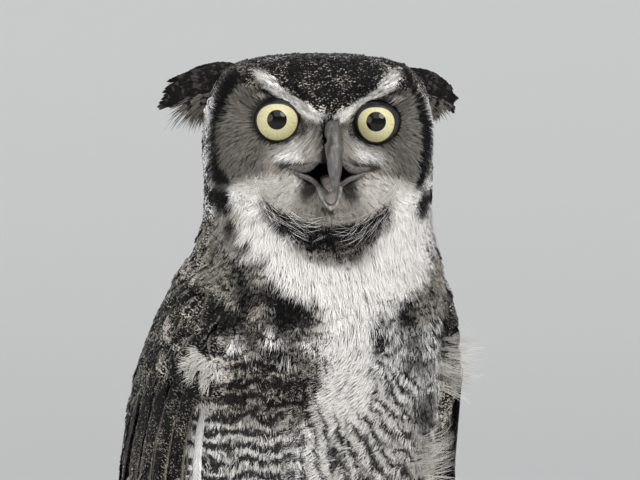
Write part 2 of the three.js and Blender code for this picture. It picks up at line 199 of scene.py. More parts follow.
def solids_together(names, grow):
    """A bmesh of these solids, each grown a little, so that neighbours run into each other."""
    bm = bmesh.new()
    for name in names:
        bm.from_mesh(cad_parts[name].data)
    bmesh.ops.remove_doubles(bm, verts=bm.verts, dist=0.01 * MM)
    bm.normal_update()
    for vert in bm.verts:
        vert.co += vert.normal * grow
    return bm


def one_surface(bm, voxel, rounds):
    """The one closed surface round everything in a bmesh, smoothed, as a mesh."""
    rough = piece_of("rough", bm)
    remesh = rough.modifiers.new("one surface", "REMESH")
    remesh.mode = "VOXEL"
    remesh.voxel_size = voxel
    graph = bpy.context.evaluated_depsgraph_get()
    mesh = bpy.data.meshes.new_from_object(rough.evaluated_get(graph))
    bpy.data.objects.remove(rough)
    smooth_mesh(mesh, rounds)
    return mesh


def outwards(bm):
    """Turns all faces outwards, once their normals follow their present places."""
    bm.normal_update()
    bmesh.ops.recalc_face_normals(bm, faces=bm.faces)


def smooth_mesh(mesh, rounds):
    """Evens out a mesh, a number of times over."""
    bm = bmesh.new()
    bm.from_mesh(mesh)
    for _ in range(rounds):
        bmesh.ops.smooth_vert(
            bm, verts=bm.verts, factor=0.5, use_axis_x=True, use_axis_y=True, use_axis_z=True
        )
    bm.to_mesh(mesh)
    bm.free()


def linked(name, data):
    """An object in the scene, with this data."""
    made = bpy.data.objects.new(name, data)
    bpy.context.scene.collection.objects.link(made)
    return made


def piece_of(name, bm):
    """The smooth-shaded object that a bmesh becomes."""
    mesh = bpy.data.meshes.new(name)
    bm.to_mesh(mesh)
    bm.free()
    mesh.shade_smooth()
    return linked(name, mesh)


def turned(profile, closed):
    """A bmesh of a profile of (out, up) spun once round Z; closed joins the profile's own ends."""
    bm = bmesh.new()
    verts = [bm.verts.new((out, 0, up)) for out, up in profile]
    edges = [bm.edges.new((verts[k - 1], verts[k])) for k in range(0 if closed else 1, len(verts))]
    whole = {"axis": (0, 0, 1), "cent": (0, 0, 0), "angle": 2 * math.pi, "steps": 64, "use_merge": True}
    bmesh.ops.spin(bm, geom=verts + edges, **whole)
    bmesh.ops.remove_doubles(bm, verts=bm.verts, dist=1e-4)
    return bm


def parts_nearest(points, names):
    """Which of these solids each point is nearest to, as a place in the list of names."""
    places, faces, owners = [], [], []
    for number, name in enumerate(names):
        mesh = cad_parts[name].data
        first = len(places)
        places += [tuple(v.co) for v in mesh.vertices]
        faces += [[first + k for k in polygon.vertices] for polygon in mesh.polygons]
        owners += [number] * len(mesh.polygons)
    tree = BVHTree.FromPolygons(places, faces)
    return np.array([owners[tree.find_nearest(point)[2]] for point in points.tolist()])


def spread_out(values, edges, rounds):
    """Values at a mesh's vertices, evened out along its edges."""
    count = np.bincount(edges.ravel(), minlength=len(values))
    for _ in range(rounds):
        total = np.bincount(edges[:, 0], values[edges[:, 1]], len(values))
        total += np.bincount(edges[:, 1], values[edges[:, 0]], len(values))
        values = (values + total / np.maximum(count, 1)) / 2
    return values


# How deep the coat is over each part, from the skin to the outline, in millimetres.
COAT_DEPTH = {"trunk": 10, "neck": 9, "head": 6, "wing": 5, "thigh": 5, "shank": 4, "foot": 2, "toe": 1.6}
FACE_DEPTH = 2.6  # in front of the ears, inside the rim of the face
MOUTH_DEPTH = 0.9  # round the mouth, where the skin is all but bare
BILL_DEPTH = 1.4  # how far the skin runs inside the horn of the bill
SKIN_PARTS = FLESH + ["bill_upper", "bill_lower", "eye_left", "eye_right"]
SKIN_VOXEL = 2.3 * MM
OUTLINE_VOXEL = 2.6 * MM
GROWN = 0.45 * MM  # how far solids grow into their neighbours before they are joined
SOCKET_SLOPE = 0.85  # how steeply the face rises away from each eye
SOCKET_REACH = 32  # how far from each eye's axis the face is drawn back, in millimetres
SKIN_LIFT, OUTLINE_LIFT = -1.4, 0.5  # how far over the eye each may stand at the lids, in millimetres


def coat_depth(points, parts):
    """The depth of the coat in metres at points that belong to these numbered skin parts."""
    listed = [COAT_DEPTH.get(name.split("_")[0], BILL_DEPTH) for name in SKIN_PARTS]
    depth = np.array(listed, float)[parts]
    x, y, z = in_head(points).T
    face = ramp(y, -14, -30) * ramp(abs(x), 68, 58) * ramp(z, -38, -28) * ramp(z, 44, 34)
    by_mouth = ramp(abs(x), 26, 20) * ramp(abs(z + 21), 12, 8) * ramp(y, -30, -36)
    is_head = parts == SKIN_PARTS.index("head")
    depth = np.where(is_head, depth + face * (FACE_DEPTH - depth), depth)
    depth = np.where(is_head, depth + by_mouth * (MOUTH_DEPTH - depth), depth)
    return depth * MM


def open_sockets(mesh, lift):
    """Draws a surface back round each eye, so that nothing stands in front of its lids. lift is
    how far over the eye the surface may stand at the lids, in millimetres."""
    places = np.empty((len(mesh.vertices), 3))
    mesh.vertices.foreach_get("co", places.ravel())
    for side in SIDES:
        turn = eye_turn(side)
        right, up, out = ((places - eye_centre(side)) @ turn.T / MM).T
        away = np.hypot(right, up)
        limit = eye_height(OPENING) + lift + SOCKET_SLOPE * np.maximum(0, away - OPENING - 1.5)
        over = np.where(away < SOCKET_REACH, np.maximum(0, out - limit), 0)
        places -= over[:, None] * turn[2] * MM
    mesh.vertices.foreach_set("co", places.ravel())
    mesh.update()


def grow_skin():
    """The skin's mesh: the flesh in one surface, drawn in by the depth of the coat."""
    mesh = one_surface(solids_together(SKIN_PARTS, GROWN), SKIN_VOXEL, 2)
    surface = Surface(mesh)
    edges = np.empty((len(mesh.edges), 2), int)
    mesh.edges.foreach_get("vertices", edges.ravel())
    parts = parts_nearest(surface.places, SKIN_PARTS)
    depth = spread_out(coat_depth(surface.places, parts), edges, 8)
    moved = surface.places - surface.normals * depth[:, None]
    mesh.vertices.foreach_set("co", moved.ravel())
    smooth_mesh(mesh, 4)
    open_sockets(mesh, SKIN_LIFT)
    kept = mesh.attributes.new("part", "INT", "POINT")
    kept.data.foreach_set("value", parts.astype(np.int32))
    return mesh


# ---- Colours and markings ----


def linear(hex_colour):
    """The linear colour of an sRGB hex value."""
    values = [int(hex_colour[k : k + 2], 16) / 255 for k in (1, 3, 5)]
    return tuple(v / 12.92 if v <= 0.04045 else ((v + 0.055) / 1.055) ** 2.4 for v in values)


class Places:
    """Points on the skin in the owl's own terms: x, y and z in the head's frame, and bearing and
    height round the body, in millimetres and degrees."""

    def __init__(self, points, parts):
        self.points, self.parts = points, parts
        self.x, self.y, self.z = in_head(points).T
        self.bearing, self.height = round_body(points)
        self.round = self.bearing * MM_PER_DEGREE

    def on(self, *names):
        """Which points belong to these skin parts, named in full or without their side."""
        numbers = [n for n, part in enumerate(SKIN_PARTS) if part.startswith(names)]
        return np.isin(self.parts, numbers)


def spot(a, b, centre, reach, soft=0.3):
    """1 inside an ellipse and 0 outside it, softly."""
    away = np.hypot((a - centre[0]) / reach[0], (b - centre[1]) / reach[1])
    return ramp(away, 1 + soft, 1 - soft)


def stroke(a, b, path, width, soft=0.4):
    """1 along a path of straight lengths and 0 beyond half its width from it, softly."""
    nearest = np.full(np.shape(a), 1e9)
    for (a0, b0), (a1, b1) in zip(path, path[1:]):
        run = np.array([a1 - a0, b1 - b0], float)
        along = ((a - a0) * run[0] + (b - b0) * run[1]) / (run @ run)
        along = np.clip(along, 0, 1)
        nearest = np.minimum(nearest, np.hypot(a - a0 - along * run[0], b - b0 - along * run[1]))
    return ramp(nearest, width / 2 * (1 + soft), width / 2 * (1 - soft))


class Marks:
    """The coat's markings at many places: its ground tint, how much of it bars and mottles cover,
    and how far each place is through the bars."""

    def __init__(self, count, tint, mottle):
        self.tint = np.tile(np.array(tint, float), (count, 1))
        self.bars = np.zeros(count)
        self.mottle = np.full(count, float(mottle))
        self.phase = np.zeros(count)

    def over(self, share, tint=None, bars=None, mottle=None):
        """Lays a marking over the ones before it, by its share at each place."""
        share = np.clip(np.asarray(share, float), 0, 1)
        if tint is not None:
            self.tint += share[:, None] * (np.array(tint) - self.tint)
        if bars is not None:
            self.bars += share * (bars - self.bars)
        if mottle is not None:
            self.mottle += share * (mottle - self.mottle)


BROW = [(3, 10), (20, 21), (41, 35.5)]  # the pale line over each eye, across and up in the head's frame
RIM = [(49, 36), (57, 24), (60.3, 8), (60.6, -6), (59.4, -18), (54.6, -31)]  # the dark edge of the face
EYE_MIDDLES = {"left": 29.3, "right": -31.0}  # where each eye's opening stands across the head
BAR_PITCH = 9.2  # millimetres from one bar of the belly to the next
PARTING = -21  # bearing of the line where the belly's feathers part
HEAD = ("head", "eye", "bill")  # the parts of the face
# How far the feathers on its left lean over to the owl's right: degrees past the parting, and lean.
SWEEP_PAST = (0, 14, 45, 75, 100)
SWEEP_LEAN = (84, 66, 46, 18, 0)


def from_eye(at):
    """How far across each place is from the middle of the eye on its side."""
    return np.where(at.x > 0, at.x - EYE_MIDDLES["left"], EYE_MIDDLES["right"] - at.x)

def eye_distance(at):
    """How far each place is from the middle of the eye on its side, across and up."""
    return np.hypot(from_eye(at), at.z - EYE_ABOVE)


def brow_height(x):
    """How high the line of the brow stands above the eyes at a distance from the middle."""
    return np.interp(abs(x), *np.array(BROW, float).T)


def rim_reach(z):
    """How far from the middle of the face its dark edge stands at a height."""
    across, up = np.array(RIM[::-1], float).T
    return np.interp(z, up, across)


def from_middle(at):
    """How far each place is to the side of the middle of the face."""
    return abs(at.x + 1.6)


def in_disc(at):
    """How far a place lies in the round of the face."""
    inside = ramp(from_middle(at) - rim_reach(at.z), -1.5, -3.5)
    inside *= ramp(at.z, np.where(abs(at.x) > 38, 32, 38), np.where(abs(at.x) > 38, 28, 34))
    low = ramp(at.z, -15 - 0.28 * abs(at.x), -9 - 0.28 * abs(at.x))
    return inside * low * ramp(at.y, -14, -20) * at.on(*HEAD)


def ruff_line(x):
    """How high the middle of the ruff stands at a distance from the middle of the throat."""
    return -58 + 19 * (np.minimum(abs(x), 40) / 38) ** 2.6 + 0.1 * np.maximum(abs(x) - 40, 0)


def face_marks(at, over, c):
    """The grey face, its white frown lines and dark rim, and the pale chin and band round them."""
    x, z = abs(at.x), at.z
    ahead = ramp(at.y, -10, -18) * at.on(*HEAD)
    eye = eye_distance(at)
    disc = in_disc(at) * ramp(z, brow_height(x) + 1, brow_height(x) - 2)
    below = ahead * ramp(z, -18, -24) * ramp(z, ruff_line(x) - 3, ruff_line(x) + 2)
    over(ahead * ramp(z, brow_height(x) - 2, brow_height(x) + 2), c.speck, 0, 0.8)
    below = below * ramp(x, 58, 51)
    over(below, c.pale, 0, 0.1)
    over(below * spot(x, z, (36, -34), (22, 10), 0.5) * 0.4, c.white, mottle=0.06)
    over(below * spot(x, z, (0, -42), (21, 16)) * 0.6, c.pale_grey, mottle=0.04)
    over(disc, c.grey, 0, 0)
    over(disc * ramp(x, 34, 58) * 0.5, c.pale_grey)
    over(disc * spot(x, z, (22, -16), (15, 9), 0.6), c.pale)
    over(disc * spot(x, z, (23, -13), (8, 4), 0.7), c.white)
    over(disc * spot(x, z, (12, -8), (5, 12), 0.6) * 0.8, c.pale)
    over(disc * stroke(x, z, [(14, 2), (19, -7), (25, -14)], 7, 0.8) * 0.6, c.white, 0, 0.16)
    over(disc * spot(x, z, (16, 5), (5.5, 8), 0.5), c.grey, 0, 0.56)
    over(disc * spot(x, z, (9, 12), (6, 3), 0.5), c.pale, 0, 0.2)
    over(disc * ramp(eye, 16.5, 15), c.shade)
    over(disc * stroke(x, z, [(19, 21), (30, 25.5), (38, 29)], 4.4), c.ink)
    over(disc * spot(x, z, (37, 30), (7, 3.4)), c.ink, 0, 0.5)
    over(disc * spot(x, z, (41, 24.5), (3.6, 1.4)), c.pale)
    over(ahead * stroke(x, z, BROW, 6.4), c.white, 0, 0.34)
    over(ahead * stroke(x, z, [(9, 13), (20, 20.3), (36, 31)], 3), c.white, 0, 0.1)
    over(ahead * stroke(x, z, BROW, 9) * ramp(z, 32, 38) * 0.75, c.speck, 0, 0.8)
    # dark bristles beside the upper bill, and painted shade in the gap between bill and feathers
    over(ahead * ramp(x, 7.5, 5) * ramp(z, -22, -18) * ramp(z, 15, 9), c.ink, mottle=0)
    # under each lip beside the lower bill: dark bristles and painted shade under the lip
    over(ahead * spot(x, z, (12, -31), (6, 6.5), 0.5), c.shade)
    # painted shadow: the skin in the open mouth is painted ink for the shade inside it
    mouth = ramp(at.y, -57, -54) * ramp(x, 20, 17) * ramp(z, -29, -26) * ramp(z, -13, -16)
    over(ahead * mouth, c.ink, 0, 0)
    # painted shade in the crease of the closed gape, from the mouth's corner to its opening
    over(ahead * stroke(x, z, [(16, -21), (22, -19), (29, -18.6)], 5, 0.7), c.shade)
    beyond = ramp(x - rim_reach(z), -0.4, 1.8)
    band = at.on("neck", *HEAD) * ramp(at.y, 14, 0) * beyond * ramp(z, -52, -40) * ramp(z, 34, 18)
    over(band, c.white, 0, 0.58)
    rim = stroke(from_middle(at), z, RIM, 4.6, 0.3) * ramp(at.y, -8, -16) * at.on("head")
    over(rim, c.ink, 0, 0)


BIB_BACK = (-96, -84, -60, -36, -7, 45, 80, 90)  # millimetres round from the middle of the throat
BIB_EDGE = (345, 333, 321, 304, 297, 303, 316, 330)  # how high the bib's lower edge is at each
# The dark patches of its side: round and up, and half sizes.
BIB_PATCHES = [((-86, 346), (6, 7)), ((-74, 333), (7, 3.5)), ((-62, 322), (8, 4)), ((-90, 330), (5, 6))]


def throat_marks(at, over, c):
    """The dark ruff under the chin, the dark patch in its middle and the white bib."""
    x = abs(at.x)
    front = at.on("head", "neck", "trunk", "wing") * ramp(at.z, -26, -34) * ramp(at.y, 4, -6)
    turned = at.round - 0.7 * HEAD_BEARING * MM_PER_DEGREE
    edge = np.interp(turned, BIB_BACK, BIB_EDGE)
    bib = front * ramp(at.height, edge - 4, edge + 4) * ramp(abs(turned), 97, 86)
    bib *= ramp(at.z, ruff_line(x) + 2, ruff_line(x) - 4)
    beside = at.on("head", "neck") * ramp(at.z, -42, -52) * ramp(at.y, 24, 2) * ramp(x, 44, 54)
    over(beside, c.pale, 0, 0.58)
    over(bib, c.white, 0, 0.0)
    over(bib * ramp(turned, -60, -70), c.white, mottle=0.14)
    over(bib * ramp(turned, -72, -84), c.pale, mottle=0.4)
    for centre, half in BIB_PATCHES:
        over(bib * spot(turned, at.height, centre, half, 0.7), c.shade, 0.2, 0.5)
    over(bib * ramp(turned, 66, 80), c.white, mottle=0.44)
    over(front * spot(turned, at.height, (-2, 337), (34, 13), 0.4), c.pale_grey, 0, 0.62)
    ruff = front * ramp(abs(at.z + 1 - ruff_line(x)), 9.5, 6)
    over(ruff * ramp(x, 42, 32), c.grey, 0, 0.78)
    over(ruff * ramp(x, 34, 44) * ramp(x, 60, 54), c.white, 0, 0.34)
    over(front * stroke(x, at.z, [(61, -27), (54, -43)], 6), c.shade, 0, 0.8)


# The dark patches of the breast: round the body and up, half sizes, and how dark they are.
BLOTCHES = [
    ((-87, 301), (11, 21), 1.0),
    ((-63, 306), (24, 6), 0.85),
    ((-49, 293), (13, 11), 1.0),
    ((-50, 271), (13, 8), 0.9),
    ((-74, 280), (9, 8), 0.8),
    ((43, 294), (15, 9), 1.0),
    ((17, 282), (4.5, 13), 0.9),
    ((41, 279), (11, 5), 0.8),
    ((48, 266), (15, 6), 0.8),
    ((60, 237), (15, 11), 0.8),
    ((82, 290), (8, 22), 0.9),
]

# The pale patches between them: round the body and up, and half sizes.
PATCHES = [
    ((-57, 279), (7, 4)),
    ((-35, 278), (8, 5)),
    ((-78, 272), (7, 4)),
    ((-50, 265), (6, 4)),
    ((64, 280), (6, 8)),
    ((28, 270), (7, 5)),
    ((60, 258), (5, 6)),
]


def breast_marks(at, over, c):
    """The barred belly, the white middle, and the dark and pale patches of the breast."""
    b, h, r = at.bearing, at.height, at.round
    trunk = at.on("trunk", "neck", "wing")
    front = trunk * ramp(b, -64, -58) * ramp(b, 66, 54) * ramp(h, 330, 318)
    own_right = ramp(b, PARTING + 4, PARTING - 4)
    over(front, c.white, 0.44, 0.1)
    over(front * ramp(h, 262, 235) * 0.3, c.pale)
    over(front * own_right, c.pale, 0.62, 0.16)
    over(front * own_right * ramp(h, 245, 225) * 0.7, c.white, 0.52, 0.08)
    over(front * own_right * ramp(h, 256, 268), c.pale, 0.4, 0.42)
    over(front * own_right * ramp(h, 230, 240) * ramp(h, 276, 266), c.pale, 0.64, 0.6)
    over(front * spot(b, h, (-2, 288), (18, 26)), c.white, 0.12, 0.2)
    over(front * spot(b, h, (-4, 252), (15, 17), 0.5), c.white, 0.0, 0.0)
    over(front * ramp(h, 250, 215) * spot(b, h, (-19, 190), (6, 60)), c.white, 0.3, 0.05)
    for centre, half, dark in BLOTCHES:
        over(trunk * spot(r, h, centre, half, 0.55) * dark, c.shade, 0, 0.8)
    for centre, half in PATCHES:
        over(trunk * spot(r, h, centre, half, 0.6), c.white, mottle=0.3)
    wrist = [(-135, 292), (-125, 284), (-107, 275), (-90, 268)]
    over(trunk * stroke(r, h, wrist, 3), c.pale, 0, 0.5)
    over(trunk * spot(r, h, (-92, 212), (8, 30), 0.3), c.white, 0.6, 0.2)


def marks_at(at, c):
    """The markings of skin and coat alike, at these places."""
    marks = Marks(len(at.points), c.buff, 0.74)
    over = marks.over
    over(at.on("head") * ramp(at.y, -26, -10), c.speck, 0, 0.8)
    over(at.on("wing", "trunk", "neck") * ramp(at.y, 30, -30) * 0.8, c.pale, mottle=0.81)
    for part_marks in (breast_marks, face_marks, throat_marks):
        part_marks(at, over, c)
    over(at.on("trunk", "thigh") * ramp(at.height, 130, 100), c.pale, 0.2, 0.1)
    over(at.on("thigh", "shank", "foot", "toe"), c.pale, 0, 0.16)
    marks.phase = bars_at(at)
    return marks


def lean_at(at):
    """How far each place's feathers lean from straight down towards the owl's right, in degrees."""
    past = at.bearing - PARTING
    lean = np.interp(past, SWEEP_PAST, SWEEP_LEAN) * ramp(past, -3, 3)
    return lean * ramp(at.height, 300, 262) * ramp(at.height, 110, 170)


def bars_at(at):
    """How many bars up each place is. Left of the parting they stand square to the lean."""
    past = at.bearing - PARTING
    steps = np.linspace(0, 130, 66)
    turns = np.radians(np.interp(steps, SWEEP_PAST, SWEEP_LEAN))
    swept = np.interp(past, steps, np.cumsum(np.sin(turns)) * (steps[1] * MM_PER_DEGREE))
    swept += (at.height - 235) * np.cos(np.radians(np.interp(past, SWEEP_PAST, SWEEP_LEAN)))
    level = at.height - 235 + 1.2 * np.sin(at.round / 5)
    return np.where((past > 0) & (at.height < 296) & (past < 110), swept, level) / BAR_PITCH


# ---- Feather forms ----


class Form:
    """One small feather or tuft, in parts of its own length: across, along and above its root.
    barb is how far across its own barb each point lies, from -1 to 1, and strand tells barbs apart."""

    def __init__(self, bm):
        bmesh.ops.remove_doubles(bm, verts=bm.verts, dist=1e-4)
        bmesh.ops.triangulate(bm, faces=bm.faces)
        barb, strand = bm.verts.layers.float["barb"], bm.verts.layers.float["strand"]
        bm.verts.ensure_lookup_table()
        self.points = np.array([vert.co for vert in bm.verts])
        self.barb = np.array([vert[barb] for vert in bm.verts])
        self.strand = np.array([vert[strand] for vert in bm.verts])
        self.faces = np.array([[vert.index for vert in face.verts] for face in bm.faces])
        self.half = abs(self.points[:, 0]).max()
        bm.free()


def new_form():
    """An empty bmesh with the layers that a form reads."""
    bm = bmesh.new()
    bm.verts.layers.float.new("barb")
    bm.verts.layers.float.new("strand")
    return bm


def ribbon(bm, path, widths, strand=0.5):
    """A flat strip along a path of (across, along, above); a width of 0 brings it to a point."""
    barb_layer, strand_layer = bm.verts.layers.float["barb"], bm.verts.layers.float["strand"]
    made = bmesh.ops.create_grid(bm, x_segments=1, y_segments=len(path) - 1, size=0.5)["verts"]
    path = np.asarray(path, float)
    heading = unit(np.gradient(path[:, :2], axis=0))
    for vert in made:
        step = round((vert.co.y + 0.5) * (len(path) - 1))
        side = 1 if vert.co.x > 0 else -1
        reach = side * widths[step] / 2
        vert[barb_layer] = side
        vert[strand_layer] = strand
        vert.co.x = path[step][0] + heading[step][1] * reach
        vert.co.y = path[step][1] - heading[step][0] * reach
        vert.co.z = path[step][2]


def wisp(rng, strands, spread, width, loft=0.05, steps=3):
    """A tuft of fine strands that fan out from one root."""
    bm = new_form()
    along = np.linspace(0, 1, steps + 1)
    for k in range(strands):
        place = (k + 0.5) / strands * 2 - 1
        turn = spread * (place + rng.uniform(-0.25, 0.25))
        bow = spread * rng.uniform(-0.5, 0.5)
        length = rng.uniform(0.7, 1.0) * (1 - 0.15 * abs(place))
        rise = rng.uniform(-loft, loft)
        path = [
            (
                0.5 * width * place + length * s * math.sin(turn + bow * s),
                length * s * math.cos(turn + bow * s),
                rise * s,
            )
            for s in along
        ]
        ribbon(bm, path, [width * (1 - s) ** 0.6 for s in along], rng.random())
    return Form(bm)


def plume(rng, barbs, half, point=0.0, fray=0.5, loft=0.02, shoulder=0.55, slant=1.0):
    """A contour feather: barbs that leave its shaft on both sides and end in a rounded outline.
    half is its half width, point the width left at a barb's end, fray how ragged the outline is,
    shoulder where it starts to round off, and slant how far along a barb may reach."""
    bm = new_form()
    pitch = 0.86 / barbs
    for side in (-1, 1):
        for k in range(barbs):
            start = 0.04 + 0.84 * k / (barbs - 1)
            end = start + min((1.02 - start) * 0.42, slant) + 0.1 * rng.uniform(-1, 1) * fray
            if end > shoulder:
                reach = half * math.sqrt(max(0.0, 1 - ((end - shoulder) / (1.05 - shoulder)) ** 2))
            else:
                reach = half * (0.6 + 0.4 * end / shoulder)
            reach *= 1 - 0.3 * fray * rng.random()
            rise = rng.uniform(-loft, loft)
            path = [
                (0, start, 0.08 * half * k / barbs),
                (side * 0.42 * reach, start + (end - start) * 0.3, rise / 2),
                (side * 0.8 * reach, start + (end - start) * 0.66, rise),
                (side * reach, end, rise * 1.5),
            ]
            widths = [0.8 * pitch, 1.5 * pitch, 1.3 * pitch, point * pitch]
            ribbon(bm, path, widths, rng.random())
    tip = 1.0 + 0.03 * rng.uniform(-1, 1)
    ribbon(bm, [(0, 0, 0.01), (0, 0.6, 0.012), (0, tip, 0.0)], [0.03, 1.4 * pitch, 0])
    return Form(bm)


# ---- Growing the coat ----

TRIES_PER_CELL = 4.5
SEEN_AT = 0.55  # how far along a feather its markings are read, as a part of its length
TIP_AT = 0.6  # where along its tip that is


def roots_on(skin, growth, rng):
    """Points spread evenly over the skin, where the middles of the feathers rooted there lie in
    the region that growth.where picks."""
    a, b, c = (skin.places[skin.faces[:, k]] for k in range(3))
    facing = np.cross(b - a, c - a)
    areas = np.linalg.norm(facing, axis=1) / 2
    root = Places((a + b + c) / 3, skin.parts[skin.faces[:, 0]])
    heading = along_surface(growth.flow(root, unit(facing)), unit(facing))
    reach = SEEN_AT * (growth.length[0] + growth.length[1]) / 2 * MM
    picked = growth.where(Places(root.points + heading * reach, root.parts)) & ~is_bare(root)
    picked &= ~is_open(Places(root.points + heading * reach / TIP_AT, root.parts))
    areas = np.where(picked, areas, 0)
    spacing = growth.spacing * bpy.context.scene.owl_sizes.spread * MM
    tries = int(areas.sum() / spacing**2 * TRIES_PER_CELL) + 1
    faces = rng.choice(len(areas), tries, p=areas / areas.sum())
    s, t = rng.random((2, tries))
    s, t = np.where(s + t > 1, 1 - s, s), np.where(s + t > 1, 1 - t, t)
    points = a[faces] + s[:, None] * (b - a)[faces] + t[:, None] * (c - a)[faces]
    kept = well_apart(points, spacing)
    return points[kept], faces[kept]


def well_apart(points, spacing):
    """The places in the list of points that each keep spacing from all those kept before them."""
    cells = np.floor(points / spacing).astype(int)
    filled, kept = {}, []
    near = [(i, j, k) for i in (-1, 0, 1) for j in (-1, 0, 1) for k in (-1, 0, 1)]
    limit = spacing * spacing
    for n, (cell, point) in enumerate(zip(map(tuple, cells.tolist()), points.tolist())):
        x, y, z = point
        i, j, k = cell
        for di, dj, dk in near:
            for ox, oy, oz in filled.get((i + di, j + dj, k + dk), ()):
                if (x - ox) ** 2 + (y - oy) ** 2 + (z - oz) ** 2 < limit:
                    break
            else:
                continue
            break
        else:
            filled.setdefault(cell, []).append((x, y, z))
            kept.append(n)
    return kept


@dataclass
class Growth:
    """Feathers of one kind over one region of the skin. Sizes are in millimetres.
    where picks the region, flow gives the way the feathers lie, rise is how far their tips stand
    off the outline, tuck how far their middles lie under it as a part of the coat's depth, and
    sway, roll and bend are how unevenly they lie, in degrees and in parts of their length.
    round is how far their shading turns from side to side, chevron how far their bars bend back at
    the edges, shades how unlike in tone they are, tint the name of the one colour of feathers
    without markings, and bar the distance from one of their bars to the next."""

    forms: list
    where: object
    flow: object
    spacing: float
    length: tuple
    breadth: tuple = (0.85, 1.15)
    rise: tuple = (-0.6, 0.4)
    tuck: float = 0.2
    sway: float = 8
    roll: float = 8
    bend: float = 0.06
    round: float = 0.22
    chevron: float = 0.4
    shades: float = 0.1
    tint: str = ""
    bar: float = BAR_PITCH


PATCH = 0.003  # how much of the OFBake map each feather has
PHASE_SPREAD = 0.07  # how far neighbouring feathers' bars are out of step
CHOSEN = ("length", "breadth", "roll", "bend", "seed")  # what differs from feather to feather


